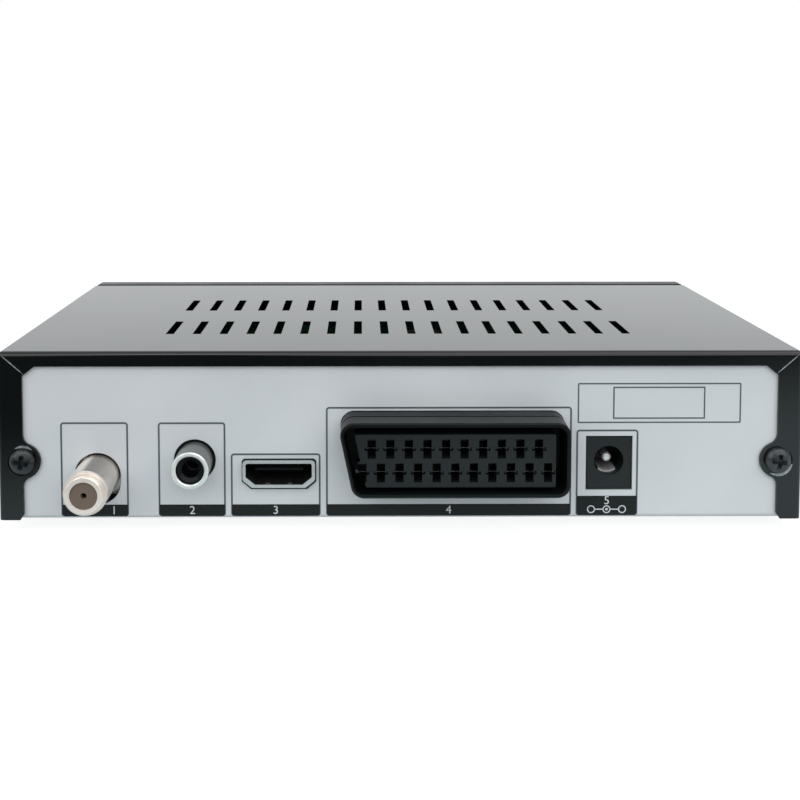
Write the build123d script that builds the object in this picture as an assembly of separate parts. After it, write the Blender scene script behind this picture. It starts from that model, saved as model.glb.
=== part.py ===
from build123d import *
from math import atan2, degrees, hypot
import os

# Satellite television receiver: a flat steel box with a moulded front panel, standing on four
# rubber feet.  The rear wall carries an aerial socket, a coaxial audio socket, an HDMI socket,
# a 21-way SCART socket and a low-voltage DC inlet.  The front panel carries a display window,
# three push buttons, a standby lamp and a USB socket.
#
# Frame, in millimetres: X runs across the box with the aerial socket at +X, Y runs from the
# front panel (-Y) to the rear wall (+Y), Z is up.  The origin is the middle of the underside
# of the bounding box, on the surface that the feet stand on.

os.makedirs("parts", exist_ok=True)

# ------------------------------------------------------------------ driving dimensions
# Case
case_width = 170.0            # across the cover
case_height = 36.0            # underside of the pan to the top of the cover
case_depth = 97.0             # face of the front panel to the rear face of the cover
foot_height = 3.0
cover_sheet = 0.7             # steel of the folded cover
pan_sheet = 0.7               # steel of the folded pan
bend_inside = 0.4             # inside radius of every fold
slip_gap = 0.3                # between pieces that slip into each other
thread_gap = 0.05             # between a screw's shank and its hole
press_gap = 0.02              # between a pressed-in piece and its seat
over = 1.0                    # how far a cut runs past the piece that it opens

# Cover
top_flange = 3.1              # rear flange along the top
side_flange = 5.3             # rear flanges down the sides
mitre_across = 5.6            # where the corner mitre ends, in from the side
mitre_down = 5.0              # and down from the top
mitre_gap = 0.16
tab_root = 7.9                # where the corner tab meets the top flange, in from the side
flange_clip_across = 0.8      # clipped lower corner of each side flange
flange_clip_up = 1.2
vent_count = 18
vent_pitch = 6.08
vent_width = 1.85
vent_length = 15.2
vent_row_rear = 26.6          # centre of the rear row, in from the rear face
vent_row_pitch = 29.8

# Screws that hold the cover to the rear wall
cover_screw_inset = 5.2       # in from the side of the case
cover_screw_rise = 12.65      # up from the underside of the pan
screw_land_radius = 3.8       # the round land that the flange swells into
screw_land_blend = 2.2        # hollow corners where the land meets the flange
dimple_radius = 3.15
dimple_depth = 0.4
cover_screw_head = 5.4
cover_screw_shank = 2.9
cover_screw_length = 7.0

# Pan
pan_lip = 5.0                 # height of the folded side lips
pan_relief = 1.2              # corner reliefs beside the rear wall
pan_vent_count = 11
pan_vent_row_pitch = 26.0
standoff_rise = 4.0           # floor of the pan to the underside of the main board
standoff_radius = 3.6
foot_radius = 6.0
foot_side_inset = 19.0
foot_rear_inset = 17.0
foot_front_inset = 30.0

# Main board
board_thickness = 1.6
board_beyond_f = 12.3         # past the aerial socket's axis
board_beyond_dc = 9.6         # past the DC inlet's housing
board_rear_gap = 0.8          # to the inside of the rear wall
board_front_gap = 15.2        # to the face of the front panel
board_corner = 1.0
board_screw_shank = 3.0
board_screw_head = 5.4
board_screw_length = 5.0
board_screw_edge = 4.5        # screw centre in from the board's edges
tail_width = 0.6              # soldering tails of the contacts
tail_thickness = 0.4

# Aerial socket (F type)
f_inset = 20.8                # axis in from the +X side of the case
f_z = 12.3
f_barrel_radius = 4.5
f_root_radius = 4.3           # inside the rear wall's hole
f_barrel_proud = 12.9         # beyond the rear wall
f_hole_radius = 4.95
f_hole_drop = 1.3             # the hole runs on downwards, for sockets soldered low
f_ring_radius = 4.25          # step behind the front face
f_face_radius = 3.85
f_ring_length = 1.5
f_face_length = 0.7           # of the narrower end in front of the ring
f_face_bevel = 0.15
f_bore_radius = 2.85
f_insulator_recess = 0.3
f_pin_hole_radius = 0.6
f_contact_radius = 0.95
f_contact_recess = 1.6
f_base_width = 11.6
f_base_height = 10.4
f_base_length = 5.1
f_base_gap = 3.5              # behind the rear wall

# Tuner shield
shield_width = 23.0
shield_length = 24.0
shield_height = 6.5
shield_sheet = 0.3
shield_lid_skirt = 2.0
shield_gap = 2.5              # between the shield and the aerial socket's base
tuner_chip_size = 6.0
tuner_chip_height = 0.9

# Coaxial audio socket (RCA type)
rca_from_f = 20.6             # from the aerial socket's axis
rca_z = 15.7
rca_shell_radius = 3.85
rca_shell_wall = 0.9
rca_root_radius = 3.6         # the part of the shell inside the housing's collar
rca_collar_gap = 0.2          # round the housing's collar in the rear wall's hole
rca_proud = 7.6
rca_hole_radius = 4.45
rca_insulator_recess = 0.6
rca_mouth_radius = 2.5        # the pin's hole opens out at the insulator's face
rca_mouth_depth = 0.6
rca_pin_hole_radius = 1.8
rca_contact_wall = 0.3
rca_contact_recess = 6.5
rca_housing_width = 10.4
rca_housing_length = 9.5
rca_housing_crown = 5.3       # top of the housing above the socket's axis

# HDMI socket (type A)
hdmi_from_rca = 17.8          # from the coaxial socket's axis
hdmi_z = 12.9
hdmi_inner_width = 14.0
hdmi_inner_height = 4.55
hdmi_wall = 0.35
hdmi_lip = 0.65               # width of the lip round the mouth of the shell
hdmi_lip_length = 0.4
hdmi_clip_across = 2.0        # slanted lower corners
hdmi_clip_up = 1.6
hdmi_corner = 0.45
hdmi_proud = 1.0
hdmi_length = 12.0
hdmi_hole_gap = 0.15
hdmi_tongue_width = 10.2
hdmi_tongue_thickness = 1.1
hdmi_tongue_rise = 0.65       # middle of the tongue above the middle of the shell
hdmi_tongue_recess = 1.6
hdmi_tongue_bevel = 0.4
hdmi_block_length = 3.5
hdmi_contact_pitch = 1.0
hdmi_contact_width = 0.4
hdmi_contact_thickness = 0.1
hdmi_spring_width = 1.0
hdmi_spring_height = 0.25
hdmi_spring_length = 4.0
hdmi_spring_offset = 2.35
hdmi_leg_length = 1.6         # four legs through the main board
hdmi_leg_front = 3.0          # front legs, behind the shell's front edge
hdmi_leg_spacing = 5.9
leg_gap = 0.1                 # round each leg in its slot

# SCART socket
scart_from_hdmi = 36.7        # between the middles of the two sockets
scart_z = 17.9                # middle of the contact block
scart_rim_rise = 0.38         # middle of the rim above it
scart_slant = 0.212           # the slanted end leans in this much for each mm down
scart_rim_shift = 0.3         # and beside it, towards the slanted end
scart_rim_width = 47.8
scart_rim_height = 15.65
scart_rim_wall = 0.9
scart_rim_proud = 9.5
scart_corner = 2.8
scart_rim_bevel = 0.3
scart_collar_proud = 3.9      # a groove parts the collar at the wall from the rim
scart_groove_width = 0.6
scart_groove_depth = 0.4
scart_hole_gap = 0.15
scart_cavity_depth = 9.0
scart_block_width = 41.3
scart_block_height = 11.0
scart_block_corner = 0.35
scart_block_recess = 1.4
scart_body_length = 12.0      # behind the rear wall
scart_pitch = 3.81
scart_row_spacing = 4.95
scart_lower_count = 11
scart_slot_width = 1.7
scart_slot_height = 4.0
scart_cross_width = 2.9
scart_cross_height = 0.8
scart_slot_depth = 7.0
scart_leaf_width = 0.5
scart_leaf_thickness = 0.3
scart_leaf_recess = 0.7

# DC inlet
dc_from_scart = 33.3          # from the middle of the SCART socket
dc_z = 15.35
dc_housing_width = 9.4
dc_housing_above = 5.15       # top of the housing above the inlet's axis
dc_housing_length = 13.8
dc_face_recess = 0.35         # the housing's face behind the rear wall's face
dc_hole_gap = 0.25            # round the housing in the rear wall
dc_corner = 0.4
dc_bore_radius = 3.15
dc_bore_depth = 9.5
dc_pin_radius = 1.0
dc_pin_recess = 2.1
dc_spring_width = 3.6
dc_spring_thickness = 0.3

# Front panel
front_skirt = 5.6             # depth of the moulding that shows
shadow_gap = 2.2              # groove between the skirt and the cover
front_wall = 2.2              # thickness of the face
skirt_wall = 1.8
front_corner = 1.6
front_edge_radius = 1.0
tongue_in_cover = 3.4         # how far the panel's collar slips into the cover
front_post_radius = 2.8
front_post_screw_shank = 2.2
front_post_screw_head = 4.2
front_post_screw_length = 6.0
panel_screw_inset = 13.0      # screws up through the pan, in from the sides of the case
panel_screw_shank = 2.6
panel_screw_head = 4.8
panel_screw_length = 6.0
panel_boss_size = 7.0

# Display
window_from_button = 9.0      # left end, from the middle of the channel-up button
window_from_usb = 21.0        # right end, from the middle of the USB socket
window_z = 21.0
window_height = 16.0
window_thickness = 1.5
window_ledge = 1.6
window_corner = 1.2
window_gap = 0.1
display_inset = 3.9           # left end of the display, in from the window's
display_receiver_gap = 6.9    # between the display and the infra-red receiver
display_height = 12.8
display_gap = 0.3             # behind the window
receiver_inset = 8.0          # middle of the receiver, in from the window's right end
receiver_size = 6.0
receiver_depth = 4.2
receiver_lens_radius = 2.2

# Buttons
button_z = 21.0
power_inset = 17.0            # in from the -X side of the case
channel_from_power = 22.0     # from the power button to the channel-down button
channel_pitch = 14.0
power_radius = 4.6
channel_width = 10.0
channel_height = 6.0
channel_corner = 1.5
button_proud = 0.6
button_gap = 0.2              # all round each button in its hole
button_travel = 0.3
button_flange = 1.0
button_flange_gap = 0.1
button_stem_radius = 1.6
button_edge = 0.4             # bevel round the face of each button

# Push switches behind the buttons
switch_size = 6.0
switch_depth = 3.5
plunger_radius = 1.75
plunger_proud = 1.5
plunger_gap = 0.15
plunger_sunk = 1.2

# Standby lamp
lamp_from_power = 11.0        # from the middle of the power button
lamp_radius = 1.5
lamp_length = 5.0
lamp_gap = 0.15
lamp_flange_radius = 1.9
lamp_flange_length = 1.0

# Front board
front_board_gap = 8.4         # from the inside of the panel's face
front_board_beyond_power = 9.0    # past the middle of the power button
front_board_beyond_window = 8.0   # past the window's right end
front_board_foot = 0.6        # bottom edge above the panel's screw bosses
front_board_head = 3.4        # top edge below the panel's skirt

# USB socket (type A)
usb_inset = 25.0              # in from the +X side of the case
usb_inner_width = 12.5
usb_inner_height = 5.1
usb_wall = 0.35
usb_corner = 0.5
usb_length = 14.0
usb_recess = 0.25
usb_hole_gap = 0.3
usb_tongue_width = 11.1
usb_tongue_thickness = 1.85
usb_tongue_drop = 0.55        # below the inside of the shell's top
usb_tongue_recess = 1.0
usb_block_length = 3.6
usb_contact_count = 4
usb_contact_pitch = 2.25
usb_contact_width = 1.0
usb_contact_thickness = 0.2
usb_board_margin = 0.4        # main board's tongue past the shell, each side

# Parts on the main board
processor_from_f = 47.2       # from the aerial socket's axis
processor_y = -3.0
processor_size = 21.0
processor_height = 1.4
pad_size = 16.0
pad_thickness = 0.5
heatsink_size = 25.0
heatsink_base = 2.0
heatsink_height = 9.0
fin_count = 8
fin_thickness = 1.1
memory_gap = 8.0              # between the memory chip and the heatsink
memory_length = 13.5
memory_width = 9.0
memory_height = 1.2
flash_gap = 6.5               # between the flash chip and the crystal
flash_length = 6.0
flash_width = 5.2
flash_height = 1.7
scart_chip_gap = 4.0          # between the driver chip and the SCART socket
scart_chip_length = 12.8
scart_chip_width = 7.5
scart_chip_height = 2.2
crystal_gap = 3.0             # between the crystal and the heatsink
crystal_length = 11.0
crystal_width = 4.6
crystal_height = 3.6
capacitor_gap = 2.5           # between the capacitors and the driver chip
capacitor_pitch = 13.0
capacitor_radius = 4.0
capacitor_height = 12.0
capacitor_crimp = 0.35
inductor_gap = 2.5            # between the inductors and the capacitors
inductor_rear_gap = 9.0       # between the inductors and the DC inlet
inductor_pitch = 11.0
inductor_size = 7.4
inductor_height = 4.0
regulator_gap = 6.0           # between the regulators and the inductors
regulator_pitch = 10.0
regulator_length = 6.6
regulator_width = 6.1
regulator_height = 2.3
regulator_tab = 1.2

# Flat cable between the two boards
cable_from_button = 20.0      # from the middle of the channel-up button
cable_width = 12.0
cable_thickness = 0.6
cable_bend = 5.0              # middle radius of its one bend
cable_run = 2.0               # straight run out of each plug
plug_width = 15.0
plug_depth = 5.0
plug_height = 6.0
plug_rise = 21.0              # middle of the front board's plug above the pan's underside

# ------------------------------------------------------------------ places worked out from them
pan_z = foot_height
floor_z = pan_z + pan_sheet
top_z = pan_z + case_height
half_width = case_width / 2
fold_radius = bend_inside + cover_sheet

rear_y = (case_depth + button_proud + cover_sheet - f_barrel_proud) / 2
front_y = rear_y - case_depth
wall_y = rear_y - cover_sheet               # outer face of the pan's rear wall
wall_inside_y = wall_y - pan_sheet
skirt_end_y = front_y + front_skirt
cover_front_y = skirt_end_y + shadow_gap
collar_end_y = cover_front_y + tongue_in_cover
panel_inside_y = front_y + front_wall

# The rear wall ends where the bends of the cover begin.
pan_half = half_width - cover_sheet - bend_inside
rear_wall_top = top_z - cover_sheet - bend_inside
cover_screw_x = half_width - cover_screw_inset
cover_screw_z = pan_z + cover_screw_rise

f_x = half_width - f_inset
rca_x = f_x - rca_from_f
hdmi_x = rca_x - hdmi_from_rca
scart_x = hdmi_x - scart_from_hdmi
dc_x = scart_x - dc_from_scart
power_x = power_inset - half_width
lamp_x = power_x + lamp_from_power
channel_down_x = power_x + channel_from_power
channel_up_x = channel_down_x + channel_pitch
usb_x = half_width - usb_inset
window_left = channel_up_x + window_from_button
window_right = usb_x - window_from_usb
window_width = window_right - window_left
window_x = (window_left + window_right) / 2
receiver_x = window_right - receiver_inset
display_left = window_left + display_inset
display_right = receiver_x - receiver_size / 2 - display_receiver_gap
processor_x = f_x - processor_from_f
cable_x = channel_up_x + cable_from_button
panel_screw_x = half_width - panel_screw_inset

board_left = dc_x - dc_housing_width / 2 - board_beyond_dc
board_right = f_x + board_beyond_f
board_z = floor_z + standoff_rise           # underside of the main board
board_top = board_z + board_thickness
board_rear_y = wall_inside_y - board_rear_gap
board_front_y = front_y + board_front_gap
front_board_y = panel_inside_y + front_board_gap
front_board_back_y = front_board_y + board_thickness
front_board_left = power_x - front_board_beyond_power
front_board_right = window_right + front_board_beyond_window
front_board_bottom = floor_z + panel_screw_length + front_board_foot
front_board_top = top_z - skirt_wall - front_board_head

f_base_end_y = wall_inside_y - f_base_gap - f_base_length
tuner_y = f_base_end_y - shield_gap - shield_length / 2
scart_upper_count = scart_lower_count - 1
scart_back_y = wall_inside_y - scart_body_length
scart_block_face_y = wall_y + scart_rim_proud - scart_block_recess
dc_face_y = wall_y - dc_face_recess
dc_back_y = dc_face_y - dc_housing_length
usb_face_y = front_y + usb_recess
usb_z = board_top + usb_wall + usb_inner_height / 2

crystal_x = processor_x + heatsink_size / 2 + crystal_gap + crystal_length / 2
crystal_y = processor_y
flash_y = crystal_y - crystal_width / 2 - flash_gap - flash_length / 2
memory_x = processor_x - heatsink_size / 2 - memory_gap - memory_width / 2
scart_chip_y = scart_back_y - scart_chip_gap - scart_chip_width / 2
capacitor_x = scart_x - scart_chip_length / 2 - capacitor_gap - capacitor_radius - capacitor_pitch
capacitor_y = scart_chip_y
inductor_x = capacitor_x - capacitor_radius - inductor_gap - inductor_size / 2
inductor_y = dc_back_y - inductor_rear_gap - inductor_size / 2
regulator_x = inductor_x
regulator_y = inductor_y - inductor_pitch - inductor_size / 2 - regulator_gap - regulator_width / 2

board_screws_at = [
    (board_left + board_screw_edge, board_rear_y - board_screw_edge),
    (board_left + board_screw_edge, board_front_y + board_screw_edge),
    (board_right - board_screw_edge, tuner_y - shield_length / 2 - board_screw_edge),
    (board_right - board_screw_edge, board_front_y + board_screw_edge),
]
front_posts_at = [
    (power_x - power_radius, front_board_top - front_post_radius),
    ((channel_up_x + window_left) / 2, front_board_bottom + front_post_radius),
    (front_board_right - front_post_radius, front_board_top - front_post_radius),
]
feet_at = [
    (side * (half_width - foot_side_inset), y)
    for side in (-1, 1)
    for y in (front_y + foot_front_inset, rear_y - foot_rear_inset)
]
plug_z = pan_z + plug_rise
plug_back_y = front_board_back_y + plug_depth
cable_drop_y = plug_back_y + cable_run + cable_bend


# ------------------------------------------------------------------ drawing helpers
def rect(u0, u1, v0, v1):
    """A rectangle between two opposite corners of a drawing plane."""
    return Pos((u0 + u1) / 2, (v0 + v1) / 2) * Rectangle(abs(u1 - u0), abs(v1 - v0))


def outline(*points):
    """A face inside a closed line of straight edges."""
    return make_face(Polyline(*points, close=True))


def along_x(profile, x0, x1):
    """Extrude a profile drawn in Y and Z from x0 to x1."""
    return extrude(Plane.YZ.offset(x0) * profile, x1 - x0, dir=(1, 0, 0))


def along_y(profile, y0, y1):
    """Extrude a profile drawn in X and Z from y0 to y1."""
    return extrude(Plane.XZ.offset(-y0) * profile, y1 - y0, dir=(0, 1, 0))


def along_z(profile, z0, z1):
    """Extrude a profile drawn in X and Y from z0 to z1."""
    return extrude(Plane.XY.offset(z0) * profile, z1 - z0, dir=(0, 0, 1))


def disc(u, v, radius):
    """A disc about a point of a drawing plane."""
    return Pos(u, v) * Circle(radius)


def turned_y(profile, x, z):
    """Revolve a profile drawn as (radius, y) about the line along Y through (x, z)."""
    return Pos(x, 0, z) * revolve(profile, Axis.Y)


def group(pieces):
    """Separate solids that share one node."""
    return Compound(children=[solid for piece in pieces for solid in piece.solids()])


def pan_head_screw(head_diameter, shank_diameter, length):
    """A cross-recessed pan head screw with its seat at z = 0 and its shank pointing down."""
    head, shank = head_diameter / 2, shank_diameter / 2
    rim, crown = 0.18 * head_diameter, 0.4 * head_diameter
    recess_arm, recess_width, recess_depth = 1.15 * head, 0.36 * head, 0.7 * crown
    half_profile = outline(
        (0, crown), (0, -length), (shank, -length), (shank, 0), (head, 0), (head, rim), (0.66 * head, crown)
    )
    screw = revolve(Plane.XZ * half_profile, Axis.Z)
    cross = Rectangle(recess_arm, recess_width) + Rectangle(recess_width, recess_arm)
    return screw - along_z(cross, crown - recess_depth, crown + over)


# ------------------------------------------------------------------ casing
def cover_block(inset):
    """The folded cover's outside as a solid block, or its inside when inset by the sheet."""
    block = Pos(0, cover_front_y, pan_z) * Box(
        case_width - 2 * inset,
        rear_y - inset - cover_front_y,
        case_height - inset,
        align=(Align.CENTER, Align.MIN, Align.MIN),
    )
    folds = (
        block.edges().filter_by(Axis.Y).group_by(Axis.Z)[-1]
        + block.edges().filter_by(Axis.X).group_by(Axis.Z)[-1].sort_by(Axis.Y)[-1:]
        + block.edges().filter_by(Axis.Z).group_by(Axis.Y)[-1]
    )
    return fillet(folds, fold_radius - inset)


def screw_land(side, inner):
    """The round land about a cover screw, blended into the straight edge of its flange."""
    land = disc(side * cover_screw_x, cover_screw_z, screw_land_radius)
    reach = screw_land_radius + screw_land_blend
    edge = sorted((side * inner, side * half_width))
    land += rect(*edge, cover_screw_z - 2 * reach, cover_screw_z + 2 * reach)
    corners = [v for v in land.vertices() if abs(v.Y - cover_screw_z) < reach]
    return fillet(corners, screw_land_blend)


def cover_rear_opening():
    """What the rear flanges leave open: tabs at the top corners, round lands at the screws."""
    inner = half_width - side_flange
    opening = rect(-inner, inner, pan_z - over, top_z - top_flange)
    for side in (-1, 1):
        opening -= outline(
            (side * inner, top_z - top_flange),
            (side * (half_width - tab_root), top_z - top_flange),
            (side * (half_width - mitre_across), top_z - mitre_down),
            (side * inner, top_z - mitre_down),
        )
        opening -= screw_land(side, inner)
        opening += outline(
            (side * inner, pan_z - over),
            (side * (inner + flange_clip_across), pan_z - over),
            (side * (inner + flange_clip_across), pan_z),
            (side * inner, pan_z + flange_clip_up),
        )
    return opening


def vents(count, row_pitch):
    """Two rows of punched slots about the origin."""
    slot = Rectangle(vent_width, vent_length)
    return Sketch() + [place * slot for place in GridLocations(vent_pitch, row_pitch, count, 2)]


def top_cover():
    """Top, sides and rear flanges folded from one sheet, mitred at the rear corners."""
    cover = cover_block(0) - cover_block(cover_sheet)
    cover -= along_y(cover_rear_opening(), rear_y - cover_sheet - over, rear_y + over)
    rows_middle_y = rear_y - vent_row_rear - vent_row_pitch / 2
    cover -= along_z(Pos(0, rows_middle_y) * vents(vent_count, vent_row_pitch), top_z - over, top_z + over)
    mitre_length = hypot(mitre_across, mitre_down)
    for side in (-1, 1):
        saw = Pos(side * (half_width - mitre_across / 2), top_z - mitre_down / 2) * Rot(
            0, 0, side * degrees(atan2(mitre_down, mitre_across))
        ) * Rectangle(mitre_length, mitre_gap)
        cover -= along_y(saw, rear_y - fold_radius, rear_y + over)
        place = (side * cover_screw_x, cover_screw_z)
        cover += along_y(disc(*place, dimple_radius + dimple_depth), wall_y - dimple_depth, wall_y)
        cover -= along_y(disc(*place, dimple_radius), rear_y - dimple_depth, rear_y + over)
        cover -= along_y(disc(*place, cover_screw_shank / 2 + thread_gap), wall_y - over, rear_y)
    return cover


def scart_outline(width, height, corner, shift=0.0, rise=0.0):
    """The socket's outline: a rounded rectangle with one end slanting in towards the bottom."""
    low, high = scart_z + rise - height / 2, scart_z + rise + height / 2
    left, right = scart_x + shift - width / 2, scart_x + shift + width / 2
    face = outline((left, low), (left, high), (right, high), (right - height * scart_slant, low))
    return fillet(face.vertices(), corner)


def scart_rim_outline(grow):
    """Outline of the rim, moved out by grow."""
    return scart_outline(scart_rim_width + 2 * grow, scart_rim_height + 2 * grow, scart_corner + grow,
                         scart_rim_shift, scart_rim_rise)


def hdmi_outline(grow):
    """The socket's inner outline with its two slanted lower corners, moved out by grow."""
    half = hdmi_inner_width / 2 + grow
    high, low = hdmi_z + hdmi_inner_height / 2 + grow, hdmi_z - hdmi_inner_height / 2 - grow
    face = outline(
        (hdmi_x - half, high),
        (hdmi_x + half, high),
        (hdmi_x + half, low + hdmi_clip_up),
        (hdmi_x + half - hdmi_clip_across, low),
        (hdmi_x - half + hdmi_clip_across, low),
        (hdmi_x - half, low + hdmi_clip_up),
    )
    return fillet(face.vertices(), hdmi_corner + grow / 2)


def dc_outline(grow):
    """The inlet housing's front outline, moved out by grow."""
    half = dc_housing_width / 2 + grow
    return rect(dc_x - half, dc_x + half, board_top - grow, dc_z + dc_housing_above + grow)


def wall_holes():
    """Everything that is punched out of the rear wall."""
    return (
        disc(f_x, f_z, f_hole_radius)
        + rect(f_x - f_hole_radius, f_x + f_hole_radius, f_z - f_hole_drop, f_z)
        + disc(f_x, f_z - f_hole_drop, f_hole_radius)
        + disc(rca_x, rca_z, rca_hole_radius)
        + hdmi_outline(hdmi_lip + hdmi_hole_gap)
        + scart_rim_outline(scart_hole_gap)
        + dc_outline(dc_hole_gap)
    )


def base_pan():
    """Floor, side lips and rear wall folded from one sheet, with pressed standoffs."""
    pan_front_y = skirt_end_y + slip_gap
    length = wall_y - pan_front_y
    middle_y = (wall_y + pan_front_y) / 2
    height = rear_wall_top - pan_z
    block = Pos(0, middle_y, pan_z) * Box(
        2 * pan_half, length, height, align=(Align.CENTER, Align.CENTER, Align.MIN)
    )
    low = block.edges().group_by(Axis.Z)[0]
    block = fillet(low.filter_by(Axis.Y) + low.filter_by(Axis.X).sort_by(Axis.Y)[-1:],
                   bend_inside + pan_sheet)
    hollow = Pos(0, middle_y, floor_z) * Box(
        2 * (pan_half - pan_sheet), length - 2 * pan_sheet, height,
        align=(Align.CENTER, Align.CENTER, Align.MIN),
    )
    low = hollow.edges().group_by(Axis.Z)[0]
    hollow = fillet(low.filter_by(Axis.Y) + low.filter_by(Axis.X).sort_by(Axis.Y)[-1:], bend_inside)
    pan = block - hollow
    # The sides are cut down to lips, which stop short of the front panel's collar.
    pan -= along_z(rect(-half_width, half_width, pan_front_y - over, wall_inside_y),
                   pan_z + pan_lip, top_z)
    pan -= along_z(rect(-half_width, half_width, pan_front_y - over, collar_end_y + slip_gap),
                   floor_z, top_z)
    for side in (-1, 1):
        pan -= along_z(
            rect(side * (pan_half - pan_relief), side * half_width,
                 wall_inside_y - pan_relief, wall_inside_y),
            floor_z - pan_sheet / 2, top_z,
        )
        place = (side * cover_screw_x, cover_screw_z)
        nest = dimple_radius + dimple_depth + slip_gap / 2
        back = disc(*place, nest + pan_sheet) & rect(-pan_half, pan_half, pan_z, rear_wall_top)
        pan += along_y(back, wall_inside_y - dimple_depth, wall_inside_y)
        pan -= along_y(disc(*place, nest), wall_y - dimple_depth, wall_y + over)
        pan -= along_y(disc(*place, cover_screw_shank / 2 + thread_gap), wall_y - 2 * over, wall_y)
    pan -= along_y(wall_holes(), wall_y - pan_sheet - over, wall_y + over)
    pan -= along_z(Pos(0, middle_y) * vents(pan_vent_count, pan_vent_row_pitch), pan_z - over, pan_z + over)
    # Standoffs are drawn up out of the floor, so they are hollow from below.
    for x, y in board_screws_at:
        pan += along_z(disc(x, y, standoff_radius), floor_z, board_z)
        pan -= along_z(disc(x, y, standoff_radius - pan_sheet), pan_z, board_z - pan_sheet)
        pan -= along_z(disc(x, y, board_screw_shank / 2 + thread_gap), pan_z, board_z + over)
    for side in (-1, 1):
        pan -= along_z(
            disc(side * panel_screw_x, panel_screw_y(), panel_screw_shank / 2 + slip_gap),
            pan_z - over, floor_z + over,
        )
    return pan


def panel_screw_y():
    """The screws up through the pan stand in the middle of the panel's bosses."""
    return collar_end_y - panel_boss_size / 2


def rubber_feet():
    """Four tapered rubber feet with a shallow cup in their soles."""
    cup_radius, cup_depth, taper = foot_radius / 2, foot_height / 6, foot_radius / 12
    profile = outline(
        (0, cup_depth), (cup_radius, cup_depth), (cup_radius, 0),
        (foot_radius - taper, 0), (foot_radius, foot_height), (0, foot_height),
    )
    foot = revolve(Plane.XZ * profile, Axis.Z)
    return group([Pos(x, y) * foot for x, y in feet_at])


def cover_screws():
    """Two black screws through the rear flanges, seated in their dimples."""
    screw = pan_head_screw(cover_screw_head, cover_screw_shank, cover_screw_length)
    seat_y = rear_y - dimple_depth
    return group([
        Plane((side * cover_screw_x, seat_y, cover_screw_z), x_dir=(1, 0, 0), z_dir=(0, 1, 0)) * screw
        for side in (-1, 1)
    ])


def board_screws():
    """Four screws that hold the main board down on the pan's standoffs."""
    screw = pan_head_screw(board_screw_head, board_screw_shank, board_screw_length)
    return group([Pos(x, y, board_top) * screw for x, y in board_screws_at])


# ------------------------------------------------------------------ front panel and its controls
def button_shape(x, grow):
    """Outline of the button at x, moved out by grow."""
    if x == power_x:
        return disc(x, button_z, power_radius + grow)
    return Pos(x, button_z) * RectangleRounded(
        channel_width + 2 * grow, channel_height + 2 * grow, channel_corner + grow
    )


def front_panel():
    """Moulded front with a skirt that shows and a collar that slips into the cover."""
    middle_z = pan_z + case_height / 2
    face = Pos(0, middle_z) * RectangleRounded(case_width, case_height, front_corner)
    panel = along_y(face, front_y, skirt_end_y)
    panel = fillet(panel.faces().sort_by(Axis.Y)[0].edges(), front_edge_radius)
    collar_half = half_width - cover_sheet - slip_gap
    collar_top = top_z - cover_sheet - slip_gap
    panel += along_y(rect(-collar_half, collar_half, floor_z, collar_top), skirt_end_y, collar_end_y)
    inside = collar_half - skirt_wall
    panel -= along_y(rect(-inside, inside, floor_z + skirt_wall, collar_top - skirt_wall),
                     panel_inside_y, collar_end_y + over)
    for x, z in front_posts_at:
        panel += along_y(disc(x, z, front_post_radius), panel_inside_y, front_board_y)
        panel -= along_y(disc(x, z, front_post_screw_shank / 2 + thread_gap),
                         panel_inside_y, front_board_y)
    for side in (-1, 1):
        middle = side * panel_screw_x
        boss = rect(middle - panel_boss_size / 2, middle + panel_boss_size / 2,
                    collar_end_y - panel_boss_size, collar_end_y)
        panel += along_z(boss, floor_z, floor_z + panel_screw_length)
        panel -= along_z(disc(middle, panel_screw_y(), panel_screw_shank / 2 + thread_gap),
                         floor_z - over, floor_z + panel_screw_length)
    glass = Pos(window_x, window_z) * RectangleRounded(window_width, window_height, window_corner)
    sight = Pos(window_x, window_z) * RectangleRounded(
        window_width - 2 * window_ledge, window_height - 2 * window_ledge, window_corner / 2
    )
    panel -= along_y(glass, front_y - over, front_y + window_thickness)
    panel -= along_y(sight, front_y, panel_inside_y + over)
    for x in (power_x, channel_down_x, channel_up_x):
        panel -= along_y(button_shape(x, button_gap), front_y - over, panel_inside_y + over)
    panel -= along_y(disc(lamp_x, button_z, lamp_radius + lamp_gap), front_y - over, panel_inside_y + over)
    panel -= along_y(usb_outline(usb_wall + usb_hole_gap), front_y - over, panel_inside_y + over)
    return panel


def display_window():
    """Smoked acrylic plate, let in flush with the face."""
    plate = Pos(window_x, window_z) * RectangleRounded(
        window_width - 2 * window_gap, window_height - 2 * window_gap, window_corner - window_gap
    )
    return along_y(plate, front_y, front_y + window_thickness)


def push_button(x):
    """A cap that fills its hole, a flange that keeps it in, and a stem down to its switch."""
    cap_end_y = panel_inside_y + button_flange_gap
    stem_end_y = front_board_y - switch_depth - plunger_proud
    cap = along_y(button_shape(x, 0), front_y - button_proud, cap_end_y)
    cap = chamfer(cap.faces().sort_by(Axis.Y)[0].edges(), button_edge)
    flange = along_y(button_shape(x, button_flange), cap_end_y, cap_end_y + button_flange)
    stem = along_y(disc(x, button_z, button_stem_radius), cap_end_y + button_flange, stem_end_y)
    return cap + flange + stem


def plunger(x):
    """The round actuator of one push switch, touching its button's stem."""
    tip_y = front_board_y - switch_depth - plunger_proud
    return along_y(disc(x, button_z, plunger_radius), tip_y, tip_y + plunger_proud + plunger_sunk)


def button_switches():
    """Three square push switches on the front board, each bored for its plunger."""
    bodies = []
    for x in (power_x, channel_down_x, channel_up_x):
        half = switch_size / 2
        case = rect(x - half, x + half, button_z - half, button_z + half)
        body = along_y(case, front_board_y - switch_depth, front_board_y)
        body -= along_y(disc(x, button_z, plunger_radius + plunger_gap), front_board_y - switch_depth - over,
                        front_board_y - switch_depth + plunger_sunk + button_travel + plunger_gap)
        bodies.append(body)
    return group(bodies)


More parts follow.
